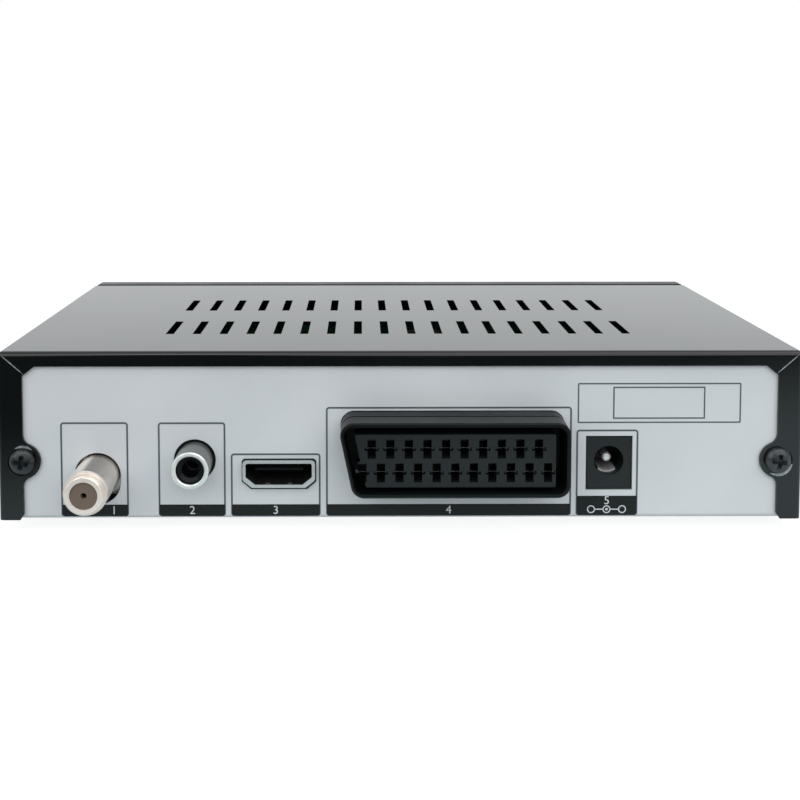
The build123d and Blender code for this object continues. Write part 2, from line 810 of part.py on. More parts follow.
def front_board():
    """Upright circuit board behind the front panel."""
    board = rect(front_board_left, front_board_right, front_board_bottom, front_board_top)
    board -= [disc(x, z, front_post_screw_shank / 2 + slip_gap) for x, z in front_posts_at]
    return along_y(board, front_board_y, front_board_back_y)


def front_board_screws():
    """Screws through the front board into the panel's posts."""
    screw = pan_head_screw(front_post_screw_head, front_post_screw_shank, front_post_screw_length)
    return group([
        Plane((x, front_board_back_y, z), x_dir=(1, 0, 0), z_dir=(0, 1, 0)) * screw
        for x, z in front_posts_at
    ])


def front_panel_screws():
    """Two screws up through the pan into the front panel's bosses."""
    screw = pan_head_screw(panel_screw_head, panel_screw_shank, panel_screw_length - over)
    return group([
        Plane((side * panel_screw_x, panel_screw_y(), pan_z), x_dir=(1, 0, 0), z_dir=(0, 0, -1)) * screw
        for side in (-1, 1)
    ])


def display_module():
    """Four-digit display block, standing on the front board just behind the window."""
    rise = display_height / 2
    case = rect(display_left, display_right, window_z - rise, window_z + rise)
    return along_y(case, front_y + window_thickness + display_gap, front_board_y)


def infrared_receiver():
    """Remote control receiver with a domed lens, on the front board behind the window."""
    half = receiver_size / 2
    case = rect(receiver_x - half, receiver_x + half, window_z - half, window_z + half)
    face_y = front_board_y - receiver_depth
    lens = Pos(receiver_x, face_y, window_z) * Sphere(receiver_lens_radius)
    lens &= Pos(receiver_x, face_y, window_z) * Box(
        receiver_size, receiver_lens_radius, receiver_size, align=(Align.CENTER, Align.MAX, Align.CENTER)
    )
    return along_y(case, face_y, front_board_y) + lens


def standby_lamp():
    """Round indicator lamp that fills its hole in the face, on two leads from the front board."""
    shoulder_y = panel_inside_y
    end_y = front_y + lamp_radius
    bulb = along_y(disc(lamp_x, button_z, lamp_radius), end_y, shoulder_y + lamp_length - lamp_flange_length)
    tip = Pos(lamp_x, end_y, button_z) * Sphere(lamp_radius)
    foot_y = shoulder_y + lamp_length
    flange = along_y(disc(lamp_x, button_z, lamp_flange_radius), foot_y - lamp_flange_length, foot_y)
    lamp = bulb + tip + flange
    for side in (-1, 1):
        lead_x = lamp_x + side * lamp_radius / 2
        half = tail_width / 2
        lamp += along_y(rect(lead_x - half, lead_x + half, button_z - half, button_z + half),
                        foot_y, front_board_y)
    return lamp


# ------------------------------------------------------------------ USB socket at the front
def usb_outline(grow):
    """The USB socket's inner outline, moved out by grow."""
    return Pos(usb_x, usb_z) * RectangleRounded(
        usb_inner_width + 2 * grow, usb_inner_height + 2 * grow, usb_corner + grow
    )


def usb_shell():
    """Folded steel shell, open at the front."""
    return along_y(usb_outline(usb_wall) - usb_outline(0), usb_face_y, usb_face_y + usb_length)


def usb_tongue():
    """Moulded block that fills the back of the shell and carries the tongue."""
    back_y = usb_face_y + usb_length
    block = along_y(usb_outline(-press_gap), back_y - usb_block_length, back_y)
    top = usb_z + usb_inner_height / 2 - usb_tongue_drop
    half = usb_tongue_width / 2
    tongue = along_y(rect(usb_x - half, usb_x + half, top - usb_tongue_thickness, top),
                     usb_face_y + usb_tongue_recess, back_y - usb_block_length)
    return block + tongue


def usb_contacts():
    """Four gold strips under the tongue."""
    under = usb_z + usb_inner_height / 2 - usb_tongue_drop - usb_tongue_thickness
    first = usb_x - usb_contact_pitch * (usb_contact_count - 1) / 2
    half = usb_contact_width / 2
    return group([
        along_y(rect(first + i * usb_contact_pitch - half, first + i * usb_contact_pitch + half,
                     under - usb_contact_thickness, under),
                usb_face_y + 2 * usb_tongue_recess, usb_face_y + usb_length - usb_block_length)
        for i in range(usb_contact_count)
    ])


# ------------------------------------------------------------------ main board and rear sockets
def main_board():
    """Circuit board on the standoffs, notched round the aerial socket, with a tongue under the USB."""
    board = rect(board_left, board_right, board_front_y, board_rear_y)
    board = fillet(board.vertices(), board_corner)
    tongue = usb_inner_width / 2 + usb_wall + usb_board_margin
    board += rect(usb_x - tongue, usb_x + tongue, panel_inside_y + slip_gap, board_front_y + over)
    board -= [Pos(*place) * Rectangle(hdmi_wall + 2 * leg_gap, hdmi_leg_length + 2 * leg_gap)
              for place in hdmi_leg_places()]
    notch = f_base_width / 2 + slip_gap
    board -= rect(f_x - notch, f_x + notch, f_base_end_y - slip_gap, board_rear_y + over)
    board -= [disc(x, y, board_screw_shank / 2 + slip_gap) for x, y in board_screws_at]
    return along_z(board, board_z, board_top)


def f_connector_barrel():
    """Turned barrel of the aerial socket on its square base, in the board's notch."""
    tip_y = wall_y + f_barrel_proud
    profile = outline(
        (f_bore_radius, f_base_end_y), (f_root_radius, f_base_end_y), (f_root_radius, wall_y),
        (f_barrel_radius, wall_y), (f_barrel_radius, tip_y - f_ring_length),
        (f_ring_radius, tip_y - f_ring_length), (f_ring_radius, tip_y - f_face_length),
        (f_face_radius, tip_y - f_face_length), (f_face_radius, tip_y - f_face_bevel),
        (f_face_radius - f_face_bevel, tip_y), (f_bore_radius, tip_y),
    )
    half, rise = f_base_width / 2, f_base_height / 2
    base = rect(f_x - half, f_x + half, f_z - rise, f_z + rise) - disc(f_x, f_z, f_bore_radius)
    return turned_y(profile, f_x, f_z) + along_y(base, f_base_end_y, f_base_end_y + f_base_length)


def f_connector_insulator():
    """Brown insulator that fills the barrel, with a small hole for the cable's core."""
    radius = f_bore_radius - press_gap
    face_y = wall_y + f_barrel_proud - f_insulator_recess
    contact_y = wall_y + f_barrel_proud - f_contact_recess
    profile = outline(
        (f_pin_hole_radius, face_y), (radius, face_y), (radius, f_base_end_y),
        (f_contact_radius + press_gap, f_base_end_y), (f_contact_radius + press_gap, contact_y),
        (f_pin_hole_radius, contact_y),
    )
    return turned_y(profile, f_x, f_z)


def f_connector_contact():
    """Centre contact: a split tube in the insulator and a tail down onto the board."""
    front = wall_y + f_barrel_proud - f_contact_recess
    end_y = f_base_end_y - tail_width
    bore = f_pin_hole_radius
    tube = outline((bore, front), (f_contact_radius, front), (f_contact_radius, end_y),
                   (0, end_y), (0, end_y + f_base_length), (bore, end_y + f_base_length))
    half = tail_width / 2
    tail = along_z(rect(f_x - half, f_x + half, end_y - tail_width, end_y), board_top, f_z + half)
    return turned_y(tube, f_x, f_z) + tail


def shield_outline(grow):
    """Plan of the tuner's shield, moved out by grow."""
    half, depth = shield_width / 2 + grow, shield_length / 2 + grow
    return rect(f_x - half, f_x + half, tuner_y - depth, tuner_y + depth)


def tuner_shield_frame():
    """Tinned steel fence soldered round the tuner."""
    fence = along_z(shield_outline(0) - shield_outline(-shield_sheet), board_top, board_top + shield_height)
    rim = along_z(shield_outline(0) - shield_outline(-3 * shield_sheet),
                  board_top + shield_height - shield_sheet, board_top + shield_height)
    return fence + rim


def tuner_shield_lid():
    """Clip-on lid over the tuner's fence, with a skirt outside it."""
    top = board_top + shield_height
    lid = along_z(shield_outline(shield_sheet + press_gap), top - shield_lid_skirt, top + shield_sheet)
    return lid - along_z(shield_outline(press_gap), board_top, top)


def square_chip(x, y, length, width, height, z=board_top):
    """A plain chip package with a bevelled top edge."""
    chip = along_z(rect(x - length / 2, x + length / 2, y - width / 2, y + width / 2), z, z + height)
    return chamfer(chip.faces().sort_by(Axis.Z)[-1].edges(), height / 8)


def rca_shell():
    """Drawn metal shell of the coaxial audio socket."""
    tip_y = wall_y + rca_proud
    end_y = wall_inside_y - rca_housing_length / 2
    inner = rca_shell_radius - rca_shell_wall
    profile = outline(
        (inner, end_y), (rca_root_radius, end_y), (rca_root_radius, wall_y),
        (rca_shell_radius, wall_y), (rca_shell_radius, tip_y), (inner, tip_y),
    )
    tip_corners = profile.vertices().group_by(Axis.Y)[-1]
    return turned_y(chamfer(tip_corners, rca_shell_wall / 4), rca_x, rca_z)


def rca_housing():
    """Black moulding behind the wall, a collar in its hole, and the insulator in the shell."""
    half = rca_housing_width / 2
    front, back = wall_inside_y - slip_gap, wall_inside_y - rca_housing_length
    body = along_y(rect(rca_x - half, rca_x + half, board_top, rca_z + rca_housing_crown), back, front)
    body += along_y(disc(rca_x, rca_z, rca_hole_radius - rca_collar_gap), front, wall_y)
    shell_end_y = wall_inside_y - rca_housing_length / 2
    body -= along_y(disc(rca_x, rca_z, rca_root_radius + press_gap), shell_end_y - press_gap, wall_y + over)
    core = rca_shell_radius - rca_shell_wall - press_gap
    face_y = wall_y + rca_proud - rca_insulator_recess
    body += along_y(disc(rca_x, rca_z, core), back, face_y)
    bore = outline(
        (0, back + over), (rca_pin_hole_radius, back + over), (rca_pin_hole_radius, face_y - rca_mouth_depth),
        (rca_mouth_radius, face_y), (rca_mouth_radius, face_y + over), (0, face_y + over),
    )
    return body - turned_y(bore, rca_x, rca_z)


def rca_centre_contact():
    """Rolled spring tube that grips the plug's pin."""
    front, back = wall_y + rca_proud - rca_contact_recess, wall_inside_y - rca_housing_length + over
    outer = rca_pin_hole_radius - press_gap
    return along_y(disc(rca_x, rca_z, outer) - disc(rca_x, rca_z, outer - rca_contact_wall), back, front)


def hdmi_leg_places():
    """Middles of the shell's four legs, in X and Y."""
    first = wall_y + hdmi_proud - hdmi_leg_front
    x = hdmi_inner_width / 2 + hdmi_wall / 2
    return [(hdmi_x + side * x, first - i * hdmi_leg_spacing) for side in (-1, 1) for i in (0, 1)]


def hdmi_shell():
    """Folded metal shell on four legs, with two contact springs pressed into its lower wall."""
    front = wall_y + hdmi_proud
    shell = along_y(hdmi_outline(hdmi_wall) - hdmi_outline(0), front - hdmi_length, front)
    shell += along_y(hdmi_outline(hdmi_lip) - hdmi_outline(0), front - hdmi_lip_length, front)
    for place in hdmi_leg_places():
        shell += along_z(Pos(*place) * Rectangle(hdmi_wall, hdmi_leg_length), board_z, hdmi_z)
    bottom = hdmi_z - hdmi_inner_height / 2
    spring = outline(
        (front - hdmi_spring_length - hdmi_spring_height, bottom),
        (front - hdmi_spring_length, bottom + hdmi_spring_height),
        (front - 2 * hdmi_spring_height, bottom + hdmi_spring_height),
        (front - hdmi_spring_height, bottom),
    )
    for side in (-1, 1):
        middle = hdmi_x + side * hdmi_spring_offset
        shell += along_x(spring, middle - hdmi_spring_width / 2, middle + hdmi_spring_width / 2)
    return shell


def hdmi_tongue():
    """Moulded block in the back of the shell, with the tongue that carries the contacts."""
    front, back = wall_y + hdmi_proud, wall_y + hdmi_proud - hdmi_length
    block = along_y(hdmi_outline(-press_gap), back, back + hdmi_block_length)
    middle = hdmi_z + hdmi_tongue_rise
    half, rise = hdmi_tongue_width / 2, hdmi_tongue_thickness / 2
    root, tip = back + hdmi_block_length, front - hdmi_tongue_recess
    side = outline(
        (root, middle - rise), (root, middle + rise), (tip - hdmi_tongue_bevel, middle + rise),
        (tip, middle + rise - hdmi_tongue_bevel), (tip, middle - rise + hdmi_tongue_bevel),
        (tip - hdmi_tongue_bevel, middle - rise),
    )
    return block + along_x(side, hdmi_x - half, hdmi_x + half)


def hdmi_contacts():
    """Nineteen gold strips, ten on top of the tongue and nine below."""
    start = wall_y + hdmi_proud - hdmi_length + hdmi_block_length
    end = wall_y + hdmi_proud - 2 * hdmi_tongue_recess
    middle = hdmi_z + hdmi_tongue_rise
    upper, lower = middle + hdmi_tongue_thickness / 2, middle - hdmi_tongue_thickness / 2
    strips = []
    for count, low in ((10, upper), (9, lower - hdmi_contact_thickness)):
        for i in range(count):
            x = hdmi_x + (i - (count - 1) / 2) * hdmi_contact_pitch
            strip = rect(x - hdmi_contact_width / 2, x + hdmi_contact_width / 2,
                         low, low + hdmi_contact_thickness)
            strips.append(along_y(strip, start, end))
    return group(strips)


def scart_places():
    """Middle of each of the 21 contact slots: ten above, eleven below, half a pitch apart."""
    rows = ((scart_upper_count, scart_row_spacing / 2), (scart_lower_count, -scart_row_spacing / 2))
    return [
        (scart_x + (i - (count - 1) / 2) * scart_pitch, scart_z + rise)
        for count, rise in rows
        for i in range(count)
    ]


def scart_housing():
    """Black moulding: a grooved rim outside the wall, a deep cavity, a body on the board."""
    rim_y = wall_y + scart_rim_proud
    rim = along_y(scart_rim_outline(0), scart_back_y, rim_y)
    rim = chamfer(rim.faces().sort_by(Axis.Y)[-1].edges(), scart_rim_bevel)
    groove_y = wall_y + scart_collar_proud
    rim -= along_y(scart_rim_outline(over) - scart_rim_outline(-scart_groove_depth),
                   groove_y, groove_y + scart_groove_width)
    foot = along_z(rect(scart_x - scart_rim_width / 2, scart_x + scart_rim_width / 3,
                        scart_back_y, wall_inside_y - slip_gap), board_top, scart_z)
    housing = rim + foot
    housing -= along_y(scart_rim_outline(-scart_rim_wall), rim_y - scart_cavity_depth, rim_y + over)
    seat = scart_outline(scart_block_width + 2 * press_gap, scart_block_height + 2 * press_gap,
                         scart_block_corner)
    return housing - along_y(seat, scart_back_y - over, rim_y)


def scart_contact_block():
    """Block with 21 cross-shaped slots, pushed into the housing from behind."""
    block = along_y(scart_outline(scart_block_width, scart_block_height, scart_block_corner),
                    scart_back_y, scart_block_face_y)
    cross = (Rectangle(scart_slot_width, scart_slot_height)
             + Rectangle(scart_cross_width, scart_cross_height))
    slots = Sketch() + [Pos(*place) * cross for place in scart_places()]
    return block - along_y(slots, scart_block_face_y - scart_slot_depth, scart_block_face_y + over)


def scart_contacts():
    """21 forked spring contacts: two leaves at the waist of each slot, on a bridge at its floor."""
    floor_y = scart_block_face_y - scart_slot_depth
    front = scart_block_face_y - scart_leaf_recess
    waist = scart_cross_height / 2 - press_gap
    contacts = []
    for x, z in scart_places():
        fork = along_y(rect(x - scart_cross_width / 2 + press_gap, x + scart_cross_width / 2 - press_gap,
                            z - scart_leaf_thickness / 2, z + waist), floor_y, floor_y + tail_width)
        for side in (-1, 1):
            outer = x + side * (scart_cross_width / 2 - press_gap)
            fork += along_y(rect(outer - side * scart_leaf_width, outer, waist + z - scart_leaf_thickness,
                                 waist + z), floor_y, front)
        contacts.append(fork)
    return group(contacts)


def dc_spring_profile(grow):
    """Section of the spring: the bottom of a ring that lines the bore, moved out by grow."""
    hollow = disc(dc_x, dc_z, dc_bore_radius - dc_spring_thickness - grow)
    ring = disc(dc_x, dc_z, dc_bore_radius + grow) - hollow
    half = dc_spring_width / 2 + grow
    return ring & rect(dc_x - half, dc_x + half, dc_z - dc_bore_radius - over, dc_z)


def dc_jack_housing():
    """Black moulding of the power inlet with its round bore, flush in the wall's cut-out."""
    body = along_y(dc_outline(0), dc_back_y, dc_face_y)
    body = fillet(body.edges().filter_by(Axis.Y), dc_corner)
    body -= along_y(disc(dc_x, dc_z, dc_bore_radius), dc_face_y - dc_bore_depth, dc_face_y + over)
    body -= along_y(disc(dc_x, dc_z, dc_pin_radius + press_gap), dc_back_y - over, dc_face_y)
    return body - along_y(dc_spring_profile(press_gap), dc_back_y - over, dc_face_y - dc_pin_recess)


def dc_jack_pin():
    """Centre pin with a rounded tip and a soldering tail behind the housing."""
    tip_y = dc_face_y - dc_pin_recess
    profile = outline((0, dc_back_y - tail_thickness), (dc_pin_radius, dc_back_y - tail_thickness),
                      (dc_pin_radius, tip_y), (0, tip_y))
    profile = fillet(profile.vertices().group_by(Axis.Y)[-1].group_by(Axis.X)[-1], dc_pin_radius * 0.6)
    tail = rect(dc_x - dc_pin_radius, dc_x + dc_pin_radius, board_top, dc_z)
    return turned_y(profile, dc_x, dc_z) + along_y(tail, dc_back_y - 2 * tail_thickness,
                                                   dc_back_y - tail_thickness)


def dc_jack_spring():
    """Curved leaf along the bottom of the bore, which presses on the plug's sleeve."""
    return along_y(dc_spring_profile(0), dc_back_y, dc_face_y - dc_pin_recess)


# ------------------------------------------------------------------ parts on the main board
def heatsink():
    """Extruded aluminium heatsink on the processor."""
    base_z = board_top + processor_height + pad_thickness
    half = heatsink_size / 2
    comb = rect(processor_x - half, processor_x + half, base_z, base_z + heatsink_base)
    pitch = (heatsink_size - fin_thickness) / (fin_count - 1)
    for i in range(fin_count):
        left = processor_x - half + i * pitch
        comb += rect(left, left + fin_thickness, base_z, base_z + heatsink_height)
    return along_y(comb, processor_y - half, processor_y + half)


def thermal_pad():
    """Soft pad between the processor and its heatsink."""
    half, z = pad_size / 2, board_top + processor_height
    return along_z(rect(processor_x - half, processor_x + half, processor_y - half, processor_y + half),
                   z, z + pad_thickness)


def smoothing_capacitors():
    """Four electrolytic cans in two rows, each crimped near its foot."""
    crimp_z = capacitor_height / 8
    waist = capacitor_radius - capacitor_crimp
    profile = outline(
        (0, 0), (capacitor_radius, 0), (capacitor_radius, crimp_z), (waist, crimp_z + capacitor_crimp),
        (capacitor_radius, crimp_z + 2 * capacitor_crimp), (capacitor_radius, capacitor_height),
        (0, capacitor_height),
    )
    can = revolve(Plane.XZ * profile, Axis.Z)
    places = GridLocations(capacitor_pitch, capacitor_pitch, 2, 2)
    middle = Pos(capacitor_x + capacitor_pitch / 2, capacitor_y - capacitor_pitch / 2, board_top)
    return group([middle * place * can for place in places])


def power_inductors():
    """Shielded power inductors with rounded corners."""
    coils = []
    for i in range(2):
        y = inductor_y - i * inductor_pitch
        body = Pos(inductor_x, y) * RectangleRounded(inductor_size, inductor_size, inductor_size / 5)
        coils.append(along_z(body, board_top, board_top + inductor_height))
    return group(coils)


def voltage_regulators():
    """Two flat regulators, each with its cooling tab against the board."""
    chips = []
    for i in range(2):
        y = regulator_y - i * regulator_pitch
        body = square_chip(regulator_x, y, regulator_length, regulator_width, regulator_height)
        edge = regulator_x - regulator_length / 2
        tab = along_z(rect(edge - regulator_tab, edge, y - regulator_width / 2.5, y + regulator_width / 2.5),
                      board_top, board_top + regulator_height / 4)
        chips.append(body + tab)
    return group(chips)


def crystal():
    """Oval metal can of the processor's clock crystal."""
    can = Pos(crystal_x, crystal_y) * SlotOverall(crystal_length, crystal_width)
    body = along_z(can, board_top, board_top + crystal_height)
    return chamfer(body.faces().sort_by(Axis.Z)[-1].edges(), crystal_height / 8)


def front_board_plug():
    """Cable plug on the back of the front board."""
    half, rise = plug_width / 2, plug_height / 2
    return along_y(rect(cable_x - half, cable_x + half, plug_z - rise, plug_z + rise),
                   front_board_back_y, plug_back_y)


def main_board_plug():
    """Cable plug standing on the main board."""
    half, depth = plug_width / 2, plug_depth / 2
    return along_z(rect(cable_x - half, cable_x + half, cable_drop_y - depth, cable_drop_y + depth),
                   board_top, board_top + plug_height)


def flat_cable():
    """Flat cable that leaves the front board's plug and bends down to the main board's."""
    route = FilletPolyline(
        (cable_x, plug_back_y, plug_z),
        (cable_x, cable_drop_y, plug_z),
        (cable_x, cable_drop_y, board_top + plug_height),
        radius=cable_bend,
    )
    start = Plane((cable_x, plug_back_y, plug_z), x_dir=(1, 0, 0), z_dir=(0, 1, 0))
    return sweep(start * Rectangle(cable_width, cable_thickness), path=route)


# ------------------------------------------------------------------ one file for each piece
pieces = {
    "base_pan": base_pan(),
    "top_cover": top_cover(),
    "cover_screws": cover_screws(),
    "rubber_feet": rubber_feet(),
    "front_panel": front_panel(),
    "front_panel_screws": front_panel_screws(),
    "display_window": display_window(),
    "power_button": push_button(power_x),
    "channel_down_button": push_button(channel_down_x),
    "channel_up_button": push_button(channel_up_x),
    "power_switch_plunger": plunger(power_x),
    "channel_down_switch_plunger": plunger(channel_down_x),
    "channel_up_switch_plunger": plunger(channel_up_x),
    "button_switches": button_switches(),
    "front_board": front_board(),
    "front_board_screws": front_board_screws(),
    "display_module": display_module(),
    "infrared_receiver": infrared_receiver(),
    "standby_lamp": standby_lamp(),
    "usb_shell": usb_shell(),
    "usb_tongue": usb_tongue(),
    "usb_contacts": usb_contacts(),
    "main_board": main_board(),
    "board_screws": board_screws(),
    "f_connector_barrel": f_connector_barrel(),
    "f_connector_insulator": f_connector_insulator(),
    "f_connector_contact": f_connector_contact(),
    "tuner_shield_frame": tuner_shield_frame(),
    "tuner_shield_lid": tuner_shield_lid(),
    "tuner_chip": square_chip(f_x, tuner_y, tuner_chip_size, tuner_chip_size, tuner_chip_height),
    "rca_shell": rca_shell(),
    "rca_housing": rca_housing(),
    "rca_centre_contact": rca_centre_contact(),
    "hdmi_shell": hdmi_shell(),
    "hdmi_tongue": hdmi_tongue(),
    "hdmi_contacts": hdmi_contacts(),
    "scart_housing": scart_housing(),
    "scart_contact_block": scart_contact_block(),
    "scart_contacts": scart_contacts(),
    "dc_jack_housing": dc_jack_housing(),
    "dc_jack_pin": dc_jack_pin(),
    "dc_jack_spring": dc_jack_spring(),
    "processor_chip": square_chip(processor_x, processor_y, processor_size, processor_size, processor_height),
    "thermal_pad": thermal_pad(),
    "heatsink": heatsink(),
    "memory_chip": square_chip(memory_x, processor_y, memory_width, memory_length, memory_height),
    "flash_chip": square_chip(crystal_x, flash_y, flash_width, flash_length, flash_height),
    "scart_driver_chip": square_chip(scart_x, scart_chip_y, scart_chip_length, scart_chip_width,
                                     scart_chip_height),
    "crystal": crystal(),
    "smoothing_capacitors": smoothing_capacitors(),
    "power_inductors": power_inductors(),
    "voltage_regulators": voltage_regulators(),
    "front_board_plug": front_board_plug(),
    "main_board_plug": main_board_plug(),
    "flat_cable": flat_cable(),
}
for name, piece in pieces.items():
    export_step(piece, f"parts/{name}.step")
print(len(pieces), "pieces written")
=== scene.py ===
from math import pi, radians

import bmesh
import bpy
import numpy as np
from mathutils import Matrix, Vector


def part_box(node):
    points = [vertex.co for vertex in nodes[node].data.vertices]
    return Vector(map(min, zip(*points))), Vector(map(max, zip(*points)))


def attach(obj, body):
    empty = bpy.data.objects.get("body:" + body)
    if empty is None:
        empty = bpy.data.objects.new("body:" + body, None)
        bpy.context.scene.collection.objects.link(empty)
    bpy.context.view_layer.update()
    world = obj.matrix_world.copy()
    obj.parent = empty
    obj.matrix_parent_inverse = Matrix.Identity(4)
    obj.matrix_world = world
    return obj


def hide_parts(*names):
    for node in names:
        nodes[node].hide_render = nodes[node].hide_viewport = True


# The satellite receiver stands on a white bench with its rear wall towards the viewer.  All sizes
# are in metres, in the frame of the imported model: X runs across the case with the aerial socket at
# +X, Y runs from the front panel to the rear wall, and Z is up.
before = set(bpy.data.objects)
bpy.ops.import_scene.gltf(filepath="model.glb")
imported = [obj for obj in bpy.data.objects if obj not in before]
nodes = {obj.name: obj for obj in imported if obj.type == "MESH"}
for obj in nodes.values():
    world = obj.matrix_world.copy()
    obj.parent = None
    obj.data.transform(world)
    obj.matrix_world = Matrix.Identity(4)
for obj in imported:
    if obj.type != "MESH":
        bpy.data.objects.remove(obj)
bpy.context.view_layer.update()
mm = 0.001

# ---------------------------------------------------------------- camera
# The viewer looks down a little on the rear sockets, from just beyond the middle of the case.
# The lens is shifted as on a view camera, which keeps the upright edges nearly parallel.
lens = bpy.data.cameras.new("rear_view")
lens.sensor_width = 36.0
lens.lens = 52.35
lens.shift_x = 0.0404
lens.shift_y = -0.2763
look_down = radians(3.7)
look_aside = radians(0.35)
viewpoint = (8.49 * mm, 284.1 * mm, 90.95 * mm)
camera = bpy.data.objects.new("rear_view", lens)
bpy.context.scene.collection.objects.link(camera)
camera.location = viewpoint
camera.rotation_euler = (pi / 2 - look_down, 0, pi - look_aside)
bpy.context.scene.camera = camera

# ---------------------------------------------------------------- base pan
# Floor, side lips and rear wall, folded from one steel sheet and sprayed with silver paint on both
# sides.  The paint holds fine aluminium flake, so it is a little mottled close to.
# The painted light and shade of a finish stop over this short run at its front plane.
painted_light_edge = 0.1 * mm
mottle_size = 25 * mm


def with_painted_light(tree, place, painted, front, direction, start, end, levels):
    """Painted light and shade: the colour times a level that changes along a direction, behind the plane
    y = front.
    """
    along = tree.nodes.new("ShaderNodeVectorMath")
    along.operation = "DOT_PRODUCT"
    along.inputs[1].default_value = direction
    tree.links.new(place, along.inputs[0])
    share = tree.nodes.new("ShaderNodeMapRange")
    share.inputs["From Min"].default_value = start
    share.inputs["From Max"].default_value = end
    tree.links.new(along.outputs["Value"], share.inputs["Value"])
    ramp = tree.nodes.new("ShaderNodeValToRGB")
    while len(ramp.color_ramp.elements) < len(levels):
        ramp.color_ramp.elements.new(0.5)
    for k, level in enumerate(levels):
        ramp.color_ramp.elements[k].position = k / (len(levels) - 1)
        ramp.color_ramp.elements[k].color = (level, level, level, 1)
    tree.links.new(share.outputs["Result"], ramp.inputs["Fac"])
    parts = tree.nodes.new("ShaderNodeSeparateXYZ")
    tree.links.new(place, parts.inputs["Vector"])
    ahead = tree.nodes.new("ShaderNodeMapRange")
    ahead.inputs["From Min"].default_value = front - painted_light_edge
    ahead.inputs["From Max"].default_value = front
    tree.links.new(parts.outputs["Y"], ahead.inputs["Value"])
    kept = tree.nodes.new("ShaderNodeMix")
    tree.links.new(ahead.outputs["Result"], kept.inputs["Factor"])
    tree.links.new(ramp.outputs["Color"], kept.inputs["A"])
    kept.inputs["B"].default_value = 1.0
    scaled = tree.nodes.new("ShaderNodeVectorMath")
    scaled.operation = "SCALE"
    tree.links.new(painted, scaled.inputs[0])
    tree.links.new(kept.outputs["Result"], scaled.inputs["Scale"])
    return scaled.outputs["Vector"]


def finish(name, tones, rough, grain, depth, metallic=0.0, specular=0.5, stretch=(1, 1, 1), painted_light=None):
    """A finish whose colour and roughness wander between two values, over a fine raised grain.

    grain is the width of the grain and depth its height, in metres; stretch squeezes it along an axis.
    The last argument, (front, direction, start, end, levels), paints light and shade into the colour of
    what lies behind the plane y = front, as levels spaced evenly from start to end along the direction.
    """
    material = bpy.data.materials.new(name)
    material.use_nodes = True
    tree = material.node_tree
    shader = tree.nodes["Principled BSDF"]
    shader.inputs["Metallic"].default_value = metallic
    shader.inputs["Specular IOR Level"].default_value = specular
    place = tree.nodes.new("ShaderNodeTexCoord")
    drawn = tree.nodes.new("ShaderNodeMapping")
    drawn.inputs["Scale"].default_value = stretch
    tree.links.new(place.outputs["Object"], drawn.inputs["Vector"])
    fine = tree.nodes.new("ShaderNodeTexNoise")
    fine.inputs["Scale"].default_value = 1 / grain
    fine.inputs["Detail"].default_value = 3.0
    tree.links.new(drawn.outputs["Vector"], fine.inputs["Vector"])
    broad = tree.nodes.new("ShaderNodeTexNoise")
    broad.inputs["Scale"].default_value = 1 / mottle_size
    broad.inputs["Detail"].default_value = 5.0
    tree.links.new(place.outputs["Object"], broad.inputs["Vector"])
    mottle = tree.nodes.new("ShaderNodeMath")
    mottle.operation = "ADD"
    tree.links.new(fine.outputs["Fac"], mottle.inputs[0])
    tree.links.new(broad.outputs["Fac"], mottle.inputs[1])
    shade = tree.nodes.new("ShaderNodeMapRange")
    shade.inputs["From Min"].default_value = 0.7
    shade.inputs["From Max"].default_value = 1.3
    tree.links.new(mottle.outputs["Value"], shade.inputs["Value"])
    colour = tree.nodes.new("ShaderNodeValToRGB")
    for element, tone in zip(colour.color_ramp.elements, tones):
        element.color = (*tone, 1)
    tree.links.new(shade.outputs["Result"], colour.inputs["Fac"])
    painted = colour.outputs["Color"]
    if painted_light:
        painted = with_painted_light(tree, place.outputs["Object"], painted, *painted_light)
    tree.links.new(painted, shader.inputs["Base Color"])
    gloss = tree.nodes.new("ShaderNodeMapRange")
    gloss.inputs["From Min"].default_value = 0.3
    gloss.inputs["From Max"].default_value = 0.7
    gloss.inputs["To Min"].default_value = rough[0]
    gloss.inputs["To Max"].default_value = rough[1]
    tree.links.new(broad.outputs["Fac"], gloss.inputs["Value"])
    tree.links.new(gloss.outputs["Result"], shader.inputs["Roughness"])
    relief = tree.nodes.new("ShaderNodeBump")
    relief.inputs["Distance"].default_value = depth
    tree.links.new(fine.outputs["Fac"], relief.inputs["Height"])
    tree.links.new(relief.outputs["Normal"], shader.inputs["Normal"])
    return material


def dress(material, *names):
    """Gives the CAD nodes of these names a finish."""
    for name in names:
        for place in nodes[name].material_slots:
            place.material = material


silver_paint = finish("silver_paint", ((0.55, 0.585, 0.605), (0.625, 0.655, 0.675)), (0.4, 0.48),
                      0.2 * mm, 0.002 * mm, metallic=0.15)
dress(silver_paint, "base_pan")

# ---------------------------------------------------------------- print on the rear wall
# Dark grey screen print: a thin frame round each socket with a solid band along its foot, and two
# plain frames beside the power inlet.  The ink stands on the paint as a film.
pan_low, pan_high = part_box("base_pan")
wall_y = pan_high[1]
fold_radius = 1.1 * mm
ink_height = 0.03 * mm
band_rise = 1.2 * ink_height
line_width = 0.38 * mm
frame_corner = 0.7 * mm
band_height = 2.6 * mm
band_foot = pan_low[2] + 0.5 * mm
band_inset = 0.05 * mm
patch_rows = 14
line_ink = finish("line_ink", ((0.06, 0.078, 0.088), (0.075, 0.095, 0.105)), (0.45, 0.6), 0.2 * mm,
                  0.003 * mm)
band_ink = finish("band_ink", ((0.0035, 0.0055, 0.006), (0.007, 0.0095, 0.01)), (0.5, 0.6), 0.2 * mm,
                  0.003 * mm, specular=0.25)


